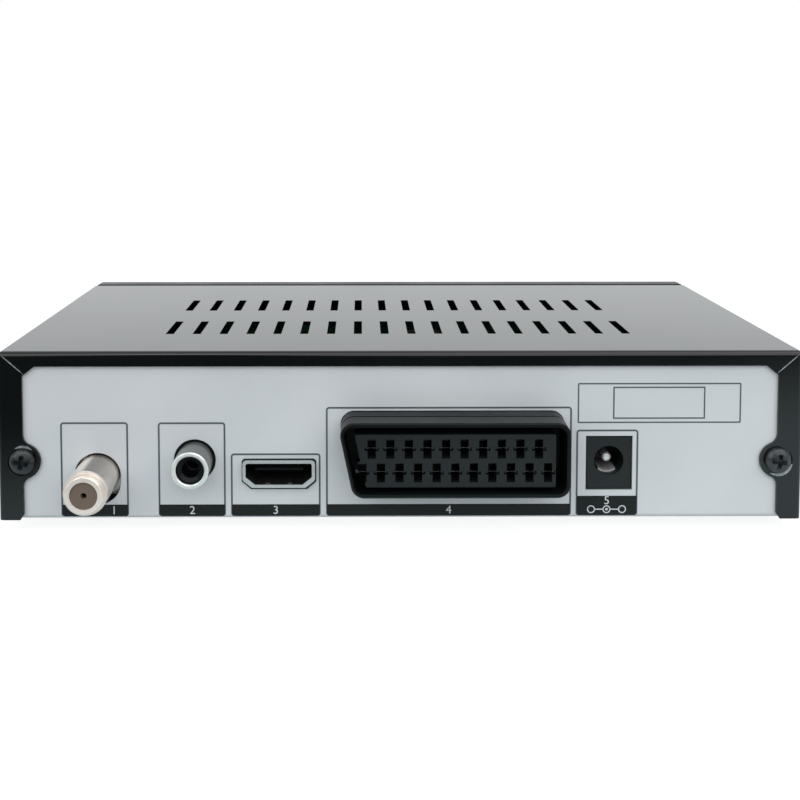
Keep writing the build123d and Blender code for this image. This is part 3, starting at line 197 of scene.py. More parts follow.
def mesh_piece(name, points, faces, material, body="case"):
    """Makes a piece from an array of points and an array of faces, and lets it ride on a body.

    Points that fall together, as at a pole, are merged, and edges sharper than 35 degrees stay crisp.
    """
    mesh = bpy.data.meshes.new(name)
    mesh.from_pydata(points.reshape(-1, 3).tolist(), [], faces.tolist())
    work = bmesh.new()
    work.from_mesh(mesh)
    bmesh.ops.remove_doubles(work, verts=work.verts, dist=0.0001 * mm)
    bmesh.ops.recalc_face_normals(work, faces=work.faces)
    work.to_mesh(mesh)
    work.free()
    mesh.shade_smooth()
    mesh.set_sharp_from_angle(angle=radians(35))
    mesh.materials.append(material)
    mesh.update()
    piece = bpy.data.objects.new(name, mesh)
    bpy.context.scene.collection.objects.link(piece)
    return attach(piece, body)


def grid_faces(rows, columns, close_rows=False, close_columns=False, first=0):
    """Quads between neighbouring points of a grid of rows and columns, which may close on itself."""
    i = np.arange(rows if close_rows else rows - 1)[:, None]
    j = np.arange(columns if close_columns else columns - 1)[None, :]
    i2, j2 = (i + 1) % rows, (j + 1) % columns
    quads = np.stack(np.broadcast_arrays(i * columns + j, i * columns + j2,
                                         i2 * columns + j2, i2 * columns + j), axis=-1)
    return first + quads.reshape(-1, 4)


def rounded_outline(left, right, low, high, radii, steps=6):
    """Points round a rectangle in X and Z, anticlockwise seen from +Y, with a radius at each corner.

    Each corner is a quarter circle: centre + radius * (cos t, sin t).
    """
    turn = np.linspace(0, pi / 2, steps)
    corners = [(right, high, 0), (left, high, 1), (left, low, 2), (right, low, 3)]
    points = []
    for (x, z, quarter), radius in zip(corners, radii):
        t = turn + quarter * pi / 2
        centre_x = x - radius * np.sign(np.cos(quarter * pi / 2 + pi / 4))
        centre_z = z - radius * np.sign(np.sin(quarter * pi / 2 + pi / 4))
        points.append(np.stack([centre_x + radius * np.cos(t), centre_z + radius * np.sin(t)], axis=-1))
    return np.concatenate(points)


def wall_face(z):
    """Y of the wall at a height: flat, then wall - r + sqrt(r^2 - d^2) at a depth d into the fold."""
    depth = np.clip(pan_low[2] + fold_radius - z, 0, fold_radius)
    return wall_y - fold_radius + np.sqrt(fold_radius ** 2 - depth ** 2)


def ink_ring(name, outer, inner, rise, material):
    """A film between two outlines of X and Z, standing on the wall."""
    loops = [(outer, 0), (outer, rise), (inner, rise), (inner, 0)]
    points = np.stack([np.column_stack([loop[:, 0], wall_face(loop[:, 1]) + height, loop[:, 1]])
                       for loop, height in loops])
    return mesh_piece(name, points, grid_faces(4, len(outer), True, True), material)


def ink_line(name, left, right, low, high, corner=frame_corner, width=line_width, rise=ink_height,
             material=line_ink):
    """A frame of ink: a flat bar carried round a rounded rectangle."""
    outer = rounded_outline(left, right, low, high, (corner,) * 4)
    inner = rounded_outline(left + width, right - width, low + width, high - width,
                            (max(corner - width, 0.05 * mm),) * 4)
    return ink_ring(name, outer, inner, rise, material)


def ink_patch(name, left, right, low, high, corner, rise=ink_height, material=band_ink):
    """A solid patch of ink in rows from foot to head: at a height z the patch runs from left + s to
    right - s, where s = r - sqrt(r^2 - (r - z)^2) at the rounded foot and 0 above it.
    """
    climb = (1 - np.cos(np.linspace(0, pi, patch_rows))) / 2
    z = low + (high - low) * climb
    near = np.clip(corner - (z - low), 0, corner)
    setback = corner - np.sqrt(corner ** 2 - near ** 2)
    z, setback = np.pad(z, 1, "edge"), np.pad(setback, 1, "edge")
    height = np.pad(np.full(len(climb), rise), 1)
    face = wall_face(z)
    points = np.stack([
        np.stack([left + setback, face, z], axis=-1),
        np.stack([left + setback, face + height, z], axis=-1),
        np.stack([right - setback, face + height, z], axis=-1),
        np.stack([right - setback, face, z], axis=-1),
    ], axis=1)
    return mesh_piece(name, points, grid_faces(len(z), 4, False, True), material)


# The left, right and top edge of each frame.
socket_frames = {
    "aerial": (57.65 * mm, 71.95 * mm, 23.85 * mm),
    "coaxial": (37.1 * mm, 51.35 * mm, 23.8 * mm),
    "hdmi": (17.0 * mm, 36.0 * mm, 17.1 * mm),
    "scart": (-36.2 * mm, 15.85 * mm, 27.05 * mm),
    "power": (-50.35 * mm, -37.2 * mm, 22.1 * mm),
}
power_band_height = 4.3 * mm
for name, (left, right, high) in socket_frames.items():
    tall = power_band_height if name == "power" else band_height
    ink_line(f"{name}_frame_print", left, right, band_foot, high)
    ink_patch(f"{name}_band_print", left + line_width / 2, right - line_width / 2,
              band_foot + band_inset, band_foot + tall, frame_corner, band_rise)

# The left, right, low and high edge of each plain frame, and the radius of its corners.
blank_frames = {
    "blank_frame": (-72.0 * mm, -37.4 * mm, 23.5 * mm, 32.1 * mm, 0.3 * mm),
    "blank_inner_frame": (-64.4 * mm, -44.9 * mm, 24.4 * mm, 31.3 * mm, 0.1 * mm),
}
blank_line = 0.3 * mm
for name, (left, right, low, high, corner) in blank_frames.items():
    ink_line(f"{name}_print", left, right, low, high, corner, blank_line)

# The polarity figure of the power inlet: three small rings in a row, joined by bars, with a dot in
# the middle one.
figure_z = 4.9 * mm
figure_ring = 0.85 * mm
figure_pitch = 3.3 * mm
figure_x = (socket_frames["power"][0] + socket_frames["power"][1]) / 2
figure_line = 0.22 * mm
figure_rise = 2 * ink_height
bar_half = figure_pitch / 2 - figure_ring
bar_corner = 0.01 * mm
dot_half = 0.25 * mm
dot_corner = 0.1 * mm
for place in (-1, 0, 1):
    x = figure_x + place * figure_pitch
    ink_line(f"polarity_ring_{place + 2}_print", x - figure_ring, x + figure_ring,
             figure_z - figure_ring, figure_z + figure_ring, figure_ring, figure_line, figure_rise,
             silver_paint)
for place, word in ((-0.5, "right"), (0.5, "left")):
    x = figure_x + place * figure_pitch
    ink_patch(f"polarity_bar_{word}_print", x - bar_half, x + bar_half, figure_z - figure_line / 2,
              figure_z + figure_line / 2, bar_corner, figure_rise, silver_paint)
ink_patch("polarity_dot_print", figure_x - dot_half, figure_x + dot_half, figure_z - dot_half,
          figure_z + dot_half, dot_corner, figure_rise, silver_paint)

# Plain numbers in the bands, left clear in the print so that the silver paint shows.
number_places = {
    "1": (60.8 * mm, 4.8 * mm),
    "2": (44.2 * mm, 4.8 * mm),
    "3": (26.5 * mm, 4.8 * mm),
    "4": (-10.2 * mm, 4.8 * mm),
    "5": (-43.8 * mm, 6.75 * mm),
}
number_height = 1.75 * mm
number_share = 0.7            # of the font's size that a number is tall
number_y = wall_y + 1.5 * ink_height
for number, (x, z) in number_places.items():
    curve = bpy.data.curves.new(f"number_{number}", "FONT")
    curve.body = number
    curve.size = number_height / number_share
    curve.align_x = "CENTER"
    curve.align_y = "CENTER"
    curve.extrude = ink_height / 2
    curve.resolution_u = 4
    text = bpy.data.objects.new(f"number_{number}_text", curve)
    mesh = bpy.data.meshes.new_from_object(text)
    bpy.data.objects.remove(text)
    flat = np.empty(len(mesh.vertices) * 3, np.float32)
    mesh.vertices.foreach_get("co", flat)
    drawn = flat.reshape(-1, 3)
    placed = np.column_stack([x - drawn[:, 0], number_y + drawn[:, 2], z + drawn[:, 1]])
    mesh.vertices.foreach_set("co", placed.astype(np.float32).ravel())
    mesh.materials.clear()
    mesh.materials.append(silver_paint)
    mesh.update()
    piece = bpy.data.objects.new(f"number_{number}_print", mesh)
    bpy.context.scene.collection.objects.link(piece)
    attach(piece, "case")

# ---------------------------------------------------------------- top cover
# Top, sides and rear flanges, folded from one steel sheet and coated with black satin paint, which
# dries with a fine orange-peel texture.
black_paint = finish("black_paint", ((0.0012, 0.0019, 0.0021), (0.0022, 0.0032, 0.0035)), (0.1, 0.15),
                     0.5 * mm, 0.0012 * mm)
dress(black_paint, "top_cover")

# ---------------------------------------------------------------- worn edges and painted edge highlights of the cover
# Where the folded flanges meet at the mitres, and where the screwdriver has rubbed the dimples, the
# paint is thin and the steel shows grey, and these marks also paint the highlights that the edges
# catch. Each mark is a film on the face of the flange.
worn_steel_and_highlight = finish("worn_steel_and_highlight", ((0.06, 0.072, 0.076), (0.5, 0.53, 0.54)), (0.3, 0.5), 0.6 * mm,
                    0.002 * mm, metallic=0.4)
cover_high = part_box("top_cover")[1]
film_face = cover_high[1] + 0.015 * mm
film_back = cover_high[1] - 0.01 * mm
mitre_across = 5.6 * mm
mitre_down = 5.0 * mm
mitre_start = 0.9 * mm
mitre_aside = 0.24 * mm
mitre_half = 0.12 * mm
screws_low, screws_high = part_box("cover_screws")
head_radius = 2.7 * mm
screw_x = screws_high[0] - head_radius
screw_z = (screws_low[2] + screws_high[2]) / 2
dimple_radius = 3.15 * mm
left_wear_highlight_half = 0.27 * mm
right_wear_highlight_half = 0.33 * mm


def wear_and_highlight_mark(name, middle, half):
    """A film with tapering ends: its edges lie half * sqrt(sin(pi s)) to each side of middle(s)."""
    s = np.linspace(0, 1, 33)
    centre = middle(s)
    along = np.gradient(centre, axis=0)
    across = np.stack([-along[:, 1], along[:, 0]], axis=-1) / np.linalg.norm(along, axis=1)[:, None]
    reach = half * np.sqrt(np.sin(pi * np.clip(s, 0.02, 0.98)))[:, None]
    near, far = centre - across * reach, centre + across * reach
    sides = [(near, film_back), (near, film_face), (far, film_face), (far, film_back)]
    points = np.stack([np.column_stack([edge[:, 0], 0 * s + y, edge[:, 1]]) for edge, y in sides], axis=1)
    return mesh_piece(name, points, grid_faces(len(s), 4, False, True), worn_steel_and_highlight)


def dimple_arc(x, start, end):
    """Part of the dimple's rim: centre + radius * (cos t, sin t), with t from start to end in degrees."""
    def middle(s):
        t = np.radians(start + (end - start) * s)
        return np.column_stack([x + dimple_radius * np.cos(t), screw_z + dimple_radius * np.sin(t)])
    return middle


for side, word in ((1, "left"), (-1, "right")):
    corner = np.array([side * (cover_high[0] - mitre_start), cover_high[2] - mitre_start])
    inner = np.array([side * (cover_high[0] - mitre_across), cover_high[2] - mitre_down])
    run = inner - corner
    normal = np.array([-run[1], run[0]]) / np.linalg.norm(run) * side
    start = corner - normal * mitre_aside
    wear_and_highlight_mark(f"{word}_mitre_edge_highlight", lambda s: start + run * s[:, None], mitre_half)
wear_and_highlight_mark("left_dimple_wear_highlight", dimple_arc(screw_x, 130, 60), left_wear_highlight_half)
wear_and_highlight_mark("right_dimple_wear_highlight", dimple_arc(-screw_x, 195, 300), right_wear_highlight_half)

# ---------------------------------------------------------------- cover screws
# Two cross-recessed pan head screws, blackened steel, through the rear flanges into the pan.  Each
# is one closed form, carried in rings from the floor of its recess out over the head to its tip.
black_oxide = finish("black_oxide", ((0.006, 0.009, 0.01), (0.06, 0.068, 0.072)), (0.22, 0.4),
                     1.1 * mm, 0.01 * mm, metallic=0.4)
head_rim = 0.75 * mm
head_crown = 2.1 * mm
recess_arm = 1.55 * mm
recess_half = 0.48 * mm
recess_depth = 1.5 * mm
recess_lip = 0.12 * mm
shank_radius = 1.45 * mm
shank_length = 6.9 * mm
thread_count = 7
thread_height = 0.13 * mm
dimple_depth = 0.4 * mm
screw_seat_y = cover_high[1] - dimple_depth
screw_turn = radians(8)


def cross_recess_screw(name, x, z, seat_y, turn):
    """A pan head screw along +Y: radius and height of each ring, as functions of the angle t.

    The recess's outline is min(arm, half / |sin a|), where a is the angle to the nearest arm.  It is
    0.62 as wide at its floor, and its lip runs from 0.97 to 1.03 of it.  The head's height is
    rim + (crown - rim) * sqrt(1 - (r / head radius)^2).
    """
    end = np.arcsin(recess_half / recess_arm)
    quarter = np.concatenate([np.linspace(-end, end, 5)[:-1], np.linspace(end, pi / 2 - end, 13)[:-1]])
    t = np.concatenate([quarter + k * pi / 2 for k in range(4)])
    to_arm = np.abs((t + pi / 4) % (pi / 2) - pi / 4)
    cross = np.minimum(recess_arm, recess_half / np.maximum(np.sin(to_arm), 1e-6))

    def dome(r):
        return head_rim + (head_crown - head_rim) * np.sqrt(np.maximum(1 - (r / head_radius) ** 2, 0))

    floor = 0 * cross + head_crown - recess_depth
    brim = 1.03 * cross
    rings = [(0 * cross, floor), (0.62 * cross, floor), (0.97 * cross, dome(cross) - recess_lip)]
    for share in np.sin(np.linspace(0, pi / 2, 12)):
        r = brim + (head_radius - brim) * share
        rings.append((r, dome(r)))
    rings.append((0 * t + head_radius, 0 * t))
    rings.append((0 * t + shank_radius, 0 * t))
    for depth in np.linspace(0, 1, 4 * thread_count):
        ridge = thread_height * np.cos(t + depth * thread_count * 2 * pi)
        rings.append((shank_radius - thread_height + ridge, 0 * t - depth * shank_length))
    rings.append((0 * t, 0 * t - shank_length))
    r = np.stack([ring[0] for ring in rings])
    y = np.stack([ring[1] for ring in rings])
    points = np.stack([x + r * np.cos(t + turn), seat_y + y, z + r * np.sin(t + turn)], axis=-1)
    screw = mesh_piece(name, points, grid_faces(len(rings), len(t), False, True), black_oxide)
    return screw


left_screw = cross_recess_screw("left_cover_screw", screw_x, screw_z, screw_seat_y, screw_turn)
right_screw = cross_recess_screw("right_cover_screw", -screw_x, screw_z, screw_seat_y, screw_turn)
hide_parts("cover_screws")
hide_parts("cover_screws")
dress(black_oxide, "front_panel_screws")

# ---------------------------------------------------------------- feet
# Four feet moulded from black rubber, each with a stem that is pressed through a hole in the pan.
# The rubber is dull and a little rough.
rubber = finish("rubber", ((0.012, 0.012, 0.012), (0.026, 0.026, 0.026)), (0.75, 0.9), 0.3 * mm,
                0.02 * mm)
dress(rubber, "rubber_feet")

# ---------------------------------------------------------------- front panel
# One ABS moulding with a fine spark texture, fixed to the pan by two screws.  It is open behind the
# window, the keys, the lamp and the USB socket.
front_plastic = finish("front_plastic", ((0.013, 0.014, 0.015), (0.022, 0.023, 0.024)), (0.35, 0.5),
                       0.3 * mm, 0.012 * mm, specular=0.4)
dress(front_plastic, "front_panel")

# ---------------------------------------------------------------- display window
# Smoked acrylic, almost black and polished, set flush into the panel in front of the display and
# the infra-red receiver.
window = finish("window", ((0.002, 0.0006, 0.0008), (0.003, 0.001, 0.0012)), (0.02, 0.05), 1.0 * mm,
                0.0005 * mm, specular=0.12)
dress(window, "display_window")

# ---------------------------------------------------------------- keys and their switches
# Three ABS caps that stand a little proud of the panel.  Each pushes the red plunger of a small
# switch on the front board, whose spring brings it back.
key_plastic = finish("key_plastic", ((0.007, 0.0075, 0.008), (0.012, 0.0125, 0.013)), (0.2, 0.3),
                     0.2 * mm, 0.002 * mm, specular=0.2)
dress(key_plastic, "power_button", "channel_down_button", "channel_up_button")
switch_plastic = finish("switch_plastic", ((0.02, 0.02, 0.02), (0.035, 0.035, 0.035)), (0.5, 0.6),
                        0.15 * mm, 0.006 * mm)
dress(switch_plastic, "button_switches")
plunger_plastic = finish("plunger_plastic", ((0.4, 0.05, 0.04), (0.52, 0.08, 0.06)), (0.4, 0.5),
                         0.2 * mm, 0.004 * mm)
dress(plunger_plastic, "power_switch_plunger", "channel_down_switch_plunger", "channel_up_switch_plunger")

# ---------------------------------------------------------------- display, receiver and lamp
# A potted display module, the dark lens of the infra-red receiver and a red standby lamp, all
# soldered to the front board.
display_plastic = finish("display_plastic", ((0.04, 0.04, 0.04), (0.06, 0.06, 0.06)), (0.5, 0.6),
                         0.2 * mm, 0.004 * mm)
dress(display_plastic, "display_module")
receiver_plastic = finish("receiver_plastic", ((0.03, 0.012, 0.02), (0.045, 0.02, 0.03)), (0.1, 0.2),
                          0.3 * mm, 0.002 * mm)
dress(receiver_plastic, "infrared_receiver")
lamp_plastic = finish("lamp_plastic", ((0.4, 0.03, 0.02), (0.5, 0.05, 0.03)), (0.15, 0.25), 0.3 * mm,
                      0.002 * mm)
dress(lamp_plastic, "standby_lamp")

# ---------------------------------------------------------------- aerial socket
# A turned brass barrel, plated with nickel, round a brown moulded insulator and a gilt contact.
# The plating is bright, so each side of the barrel shows another part of the room; that reflection
# is painted into its colour as lighter and darker streaks along the barrel, behind its front rings.
barrel_low, barrel_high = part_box("f_connector_barrel")
barrel_radius = 4.5 * mm
barrel_rings = 2.3 * mm
barrel_reflection_direction = (0.82, 0, 0.57)
barrel_middle = (barrel_reflection_direction[0] * (barrel_low[0] + barrel_high[0]) / 2
                 + barrel_reflection_direction[2] * (barrel_low[2] + barrel_high[2]) / 2)
# Painted reflection: the levels that scale the barrel's colour across it, ending in a painted highlight
# streak.
barrel_reflection_levels = (0.6, 0.72, 0.72, 0.62, 0.48, 0.38, 0.3, 0.26, 0.24, 1, 1)
barrel_nickel = finish("barrel_nickel", ((0.86, 0.785, 0.71), (0.98, 0.9, 0.82)), (0.16, 0.28),
                       0.12 * mm, 0.0015 * mm, metallic=0.5, stretch=(0.2, 4, 0.2),
                       painted_light=(barrel_high[1] - barrel_rings, barrel_reflection_direction,
                             barrel_middle - barrel_radius, barrel_middle + barrel_radius,
                             barrel_reflection_levels))
dress(barrel_nickel, "f_connector_barrel")
brown_insulator = finish("brown_insulator", ((0.12, 0.09, 0.068), (0.165, 0.125, 0.098)), (0.5, 0.65),
                         0.2 * mm, 0.006 * mm)
dress(brown_insulator, "f_connector_insulator")
gold = finish("gold", ((0.62, 0.44, 0.18), (0.78, 0.6, 0.28)), (0.2, 0.3), 0.2 * mm, 0.001 * mm,
              metallic=1.0)
dress(gold, "f_connector_contact")

# ---------------------------------------------------------------- coaxial audio socket
# A rolled shell, plated with nickel, in a black moulded housing that is soldered to the board.
# The sprung centre contact lies deep in the housing's bore.
shell_low, shell_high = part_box("rca_shell")
shell_lip = 0.35 * mm
shell_shade_direction = (0.6, 0, -0.8)
shell_middle = (shell_shade_direction[0] * (shell_low[0] + shell_high[0]) / 2
                + shell_shade_direction[2] * (shell_low[2] + shell_high[2]) / 2)
# Painted shade: behind its front lip the shell's colour falls to these levels, darkest on one side.
shell_shade_levels = (0.2, 0.26, 0.4)
shell_nickel = finish("shell_nickel", ((0.66, 0.7, 0.68), (0.86, 0.9, 0.88)), (0.2, 0.32), 0.12 * mm,
                      0.0015 * mm, metallic=0.45, stretch=(0.2, 4, 0.2),
                      painted_light=(shell_high[1] - shell_lip, shell_shade_direction, shell_middle - 1.6 * mm,
                            shell_middle + 2.4 * mm, shell_shade_levels))
dress(shell_nickel, "rca_shell")
socket_plastic = finish("socket_plastic", ((0.0022, 0.0035, 0.0038), (0.004, 0.006, 0.0065)),
                        (0.28, 0.4), 0.3 * mm, 0.003 * mm, specular=0.16)
dress(socket_plastic, "rca_housing")
# Nickel darkened as painted shade, for contacts that lie deep in the bore and the slots.
shaded_nickel = finish("shaded_nickel", ((0.05, 0.055, 0.055), (0.14, 0.15, 0.15)), (0.3, 0.45), 0.2 * mm,
                     0.0015 * mm, metallic=0.8)
dress(shaded_nickel, "rca_centre_contact")

# ---------------------------------------------------------------- HDMI socket
# A shell folded from plated steel round a black tongue with gilt contacts, soldered to the board.
# The shade in the gap round the shell, in its hole in the rear wall, is painted as a dark film
# on the wall, and the steel inside the shell, behind its lip, is painted in shade.
hdmi_low, hdmi_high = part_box("hdmi_shell")
hdmi_x = (hdmi_low[0] + hdmi_high[0]) / 2
hdmi_lip = 0.15 * mm
# Painted shade: behind its lip the inside of the shell is cut to 0.06 of its colour.
plated_steel = finish("plated_steel", ((0.42, 0.44, 0.44), (0.58, 0.6, 0.6)), (0.2, 0.34), 0.3 * mm,
                      0.002 * mm, metallic=0.6,
                      painted_light=(hdmi_high[1] - hdmi_lip, (0, 1, 0), 0, 1, (0.06, 0.06)))
dress(plated_steel, "hdmi_shell")
dress(socket_plastic, "hdmi_tongue")
dress(gold, "hdmi_contacts")
gap_shade = finish("gap_shade", ((0.012, 0.016, 0.017), (0.02, 0.026, 0.028)), (0.6, 0.8), 0.2 * mm,
                   0.003 * mm, specular=0.2)
hdmi_clip = 0.5


def hdmi_outline(side, top, waist, foot, foot_side):
    """A box whose lower corners are cut off, anticlockwise seen from +Y, in millimetres."""
    return np.array([(side, top - hdmi_clip), (side - hdmi_clip, top), (hdmi_clip - side, top),
                     (-side, top - hdmi_clip), (-side, waist), (-foot_side, foot), (foot_side, foot),
                     (side, waist)]) * mm + (hdmi_x, 0)


# Painted shadow: a dark film on the wall between these two outlines, in the gap round the shell.
painted_gap_shadow_outline = hdmi_outline(7.9, 15.98, 11.05, 9.4, 5.95)
shell_outline = hdmi_outline(7.3, 15.5, 11.7, 10.2, 5.4)
ink_ring("hdmi_gap_painted_shadow", painted_gap_shadow_outline, shell_outline, ink_height, gap_shade)

# ---------------------------------------------------------------- SCART socket
# A black moulded rim round a dark grey block with 21 crossed slots in two rows.  In each slot the
# two sprung leaves of a nickel contact show as a thin bent edge.
dress(socket_plastic, "scart_housing")
grey_plastic = finish("grey_plastic", ((0.005, 0.0075, 0.0085), (0.008, 0.011, 0.012)), (0.4, 0.55),
                      0.25 * mm, 0.004 * mm, specular=0.35)
dress(grey_plastic, "scart_contact_block")
# The contacts lie deep in the slots, so they take the nickel darkened as painted shade.
dress(shaded_nickel, "scart_contacts")
leaf_steel = finish("leaf_steel", ((0.12, 0.14, 0.14), (0.3, 0.33, 0.33)), (0.3, 0.4), 0.2 * mm,
                    0.001 * mm, metallic=0.5)
block_low, block_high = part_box("scart_contact_block")
block_z = (block_low[2] + block_high[2]) / 2
scart_x = -10.9 * mm
scart_pitch = 3.81 * mm
scart_row = 4.95 / 2 * mm
leaf_half = 1.35 * mm
leaf_wire = 0.08 * mm
leaf_foot = 0.25 * mm
leaf_rise = 0.45 * mm
leaf_depth = 0.4 * mm
leaf_y = block_high[1] - leaf_depth
leaf_points = 15
leaf_sides = 6


def bent_edge(x, z):
    """A leaf bent over the slot, for u from -1 to 1: its height is rise * (1 - u^4), and its edge is
    wire * (0.12 + 0.88 u^4) * sqrt(1 - u^12) thick, so that it is thinnest in the middle.
    """
    u, t = np.meshgrid(np.linspace(-1, 1, leaf_points),
                       np.linspace(0, 2 * pi, leaf_sides, endpoint=False), indexing="ij")
    thick = leaf_wire * (0.12 + 0.88 * u ** 4) * np.sqrt(np.maximum(1 - u ** 12, 0))
    path_z = z - leaf_foot + leaf_rise * (1 - u ** 4)
    return np.stack([x + leaf_half * u, leaf_y + thick * np.cos(t), path_z + thick * np.sin(t)], axis=-1)


rows = [(10, block_z + scart_row), (11, block_z - scart_row)]
edges = [bent_edge(scart_x + (k - (count - 1) / 2) * scart_pitch, z)
         for count, z in rows for k in range(count)]
edge_faces = [grid_faces(leaf_points, leaf_sides, False, True, k * leaf_points * leaf_sides)
              for k in range(len(edges))]
mesh_piece("scart_contact_edges", np.concatenate(edges), np.concatenate(edge_faces), leaf_steel)

# ---------------------------------------------------------------- power inlet
# A dark grey moulded housing, soldered to the board, with a bright turned pin for the plug's bore
# and a sprung leaf for its sleeve.
dress(grey_plastic, "dc_jack_housing")
bright_nickel = finish("bright_nickel", ((0.62, 0.63, 0.62), (0.8, 0.81, 0.8)), (0.2, 0.32), 0.12 * mm,
                       0.0015 * mm, metallic=0.5)
dress(bright_nickel, "dc_jack_pin", "dc_jack_spring")

# ---------------------------------------------------------------- USB socket
# A shell folded from tinned steel round a black tongue with four gilt contacts, soldered to the
# front board.
tinned_steel = finish("tinned_steel", ((0.6, 0.6, 0.6), (0.76, 0.76, 0.75)), (0.18, 0.32), 0.3 * mm,
                      0.002 * mm, metallic=1.0)
dress(tinned_steel, "usb_shell")
dress(socket_plastic, "usb_tongue")
dress(gold, "usb_contacts")

# ---------------------------------------------------------------- boards
# Two glass-fibre boards under green solder mask.  The main board is screwed to standoffs in the
# pan's floor and the front board to the panel, with zinc-plated screws.
solder_mask = finish("solder_mask", ((0.012, 0.1, 0.04), (0.025, 0.16, 0.07)), (0.25, 0.4), 0.5 * mm,
                     0.01 * mm)
dress(solder_mask, "main_board", "front_board")
zinc = finish("zinc", ((0.42, 0.42, 0.4), (0.6, 0.6, 0.56)), (0.25, 0.4), 0.1 * mm, 0.004 * mm,
              metallic=1.0)
dress(zinc, "board_screws", "front_board_screws")

# ---------------------------------------------------------------- tuner shield and crystal
# A fence and a lid of tinned steel, pressed from sheet and soldered round the tuner, and the
# drawn can of the crystal.
dress(tinned_steel, "tuner_shield_frame", "tuner_shield_lid", "crystal")

# ---------------------------------------------------------------- chips and their cooling
# Black epoxy packages, soldered to the main board.  The processor carries a soft silicone pad and
# a heatsink of extruded aluminium.
epoxy = finish("epoxy", ((0.014, 0.014, 0.015), (0.028, 0.028, 0.03)), (0.5, 0.65), 0.12 * mm,
               0.006 * mm)
dress(epoxy, "processor_chip", "memory_chip", "flash_chip", "scart_driver_chip", "tuner_chip",
      "voltage_regulators")
silicone = finish("silicone", ((0.38, 0.46, 0.54), (0.46, 0.54, 0.6)), (0.6, 0.75), 0.3 * mm,
                  0.01 * mm)
dress(silicone, "thermal_pad")
aluminium = finish("aluminium", ((0.58, 0.59, 0.6), (0.7, 0.71, 0.72)), (0.3, 0.42), 0.15 * mm,
                   0.006 * mm, metallic=1.0, stretch=(3, 0.1, 3))
dress(aluminium, "heatsink")

# ---------------------------------------------------------------- capacitors and inductors
# Aluminium cans in dark blue printed sleeves, and square coils in a pressed ferrite powder, all
# soldered to the main board.
sleeve = finish("sleeve", ((0.02, 0.022, 0.05), (0.035, 0.038, 0.08)), (0.25, 0.35), 0.4 * mm,
                0.004 * mm)
dress(sleeve, "smoothing_capacitors")
ferrite = finish("ferrite", ((0.05, 0.05, 0.052), (0.09, 0.09, 0.092)), (0.55, 0.7), 0.15 * mm,
                 0.02 * mm)
dress(ferrite, "power_inductors")

# ---------------------------------------------------------------- cable between the boards
# A flat grey cable with a nylon plug at each end, one on each board.
# Its jacket is ribbed along its length.
nylon = finish("nylon", ((0.6, 0.57, 0.5), (0.7, 0.67, 0.6)), (0.4, 0.5), 0.3 * mm, 0.004 * mm)
dress(nylon, "front_board_plug", "main_board_plug")
cable_jacket = finish("cable_jacket", ((0.4, 0.41, 0.42), (0.52, 0.53, 0.54)), (0.4, 0.5), 0.3 * mm,
                      0.01 * mm, stretch=(4, 0.1, 0.1))
dress(cable_jacket, "flat_cable")

# ---------------------------------------------------------------- bench and light
# A white bench that runs into a white room with no edge between them.  What shines mirrors a white
# room behind and above the case and a dim one on the viewer's side, and the bench fades likewise.
dim_side = 0.06
bench_size = 4.0
bench_bright_until = 0.055    # mirrored white behind this line
bench_dim_from = 0.18         # and dim in front of this one
bench_slant = 0.45            # share of X by which both lines slant
bench_glow = 0.86             # the bench's own white, for the camera
bench_share = 0.3             # share of the lamps' light that the camera sees on it
mirrored_share = 0.03         # share that what shines mirrors
bounced_share = 0.42          # share that it throws back on the case
bench_tint = (0.8, 0.96, 1.0)
room_light = 0.5              # the light that the room throws on the case
room_bright = 1.1             # what shines mirrors this behind the first line
room_bright_until = -0.5
room_dim_from = 0.95
room_tint = (0.96, 0.99, 1.0)
lamp_aim = (0, 0.04, 0.02)


def seen_directly(tree):
    """1 for what the camera, a shiny surface or glass shows of a material, and 0 for its light."""
    path = tree.nodes.new("ShaderNodeLightPath")
    either = path.outputs["Is Camera Ray"]
    for other in ("Is Glossy Ray", "Is Transmission Ray"):
        larger = tree.nodes.new("ShaderNodeMath")
        larger.operation = "MAXIMUM"
        tree.links.new(either, larger.inputs[0])
        tree.links.new(path.outputs[other], larger.inputs[1])
        either = larger.outputs["Value"]
    return path.outputs["Is Camera Ray"], either


def fade(tree, value, start, end, first, last):
    """A smooth passage from first to last as the value goes from start to end."""
    step = tree.nodes.new("ShaderNodeMapRange")
    step.interpolation_type = "SMOOTHSTEP"
    for socket, number in zip(("From Min", "From Max", "To Min", "To Max"), (start, end, first, last)):
        step.inputs[socket].default_value = number
    tree.links.new(value, step.inputs["Value"])
    return step.outputs["Result"]


def choose(tree, switch, off, on):
    """The first value where the switch is 0, and the second where it is 1."""
    mix = tree.nodes.new("ShaderNodeMix")
    tree.links.new(switch, mix.inputs["Factor"])
    for value, socket in ((off, mix.inputs["A"]), (on, mix.inputs["B"])):
        if isinstance(value, float):
            socket.default_value = value
        else:
            tree.links.new(value, socket)
    return mix.outputs["Result"]


def tinted(tree, by_camera, tint):
    """White for the camera, and the tint for what mirrors the room."""
    mix = tree.nodes.new("ShaderNodeMix")
    mix.data_type = "RGBA"
    tree.links.new(by_camera, mix.inputs["Factor"])
    shades = [socket for socket in mix.inputs if socket.type == "RGBA"]
    shades[0].default_value = (*tint, 1)
    shades[1].default_value = (1, 1, 1, 1)
    return [socket for socket in mix.outputs if socket.type == "RGBA"][0]


def part_of(tree, kind, x_share=0.0):
    """The Y part of a texture coordinate, with a share of its X part added."""
    place = tree.nodes.new("ShaderNodeTexCoord")
    parts = tree.nodes.new("ShaderNodeSeparateXYZ")
    tree.links.new(place.outputs[kind], parts.inputs["Vector"])
    slanted = tree.nodes.new("ShaderNodeMath")
    slanted.operation = "MULTIPLY_ADD"
    slanted.inputs[1].default_value = x_share
    tree.links.new(parts.outputs["X"], slanted.inputs[0])
    tree.links.new(parts.outputs["Y"], slanted.inputs[2])
    return slanted.outputs["Value"]


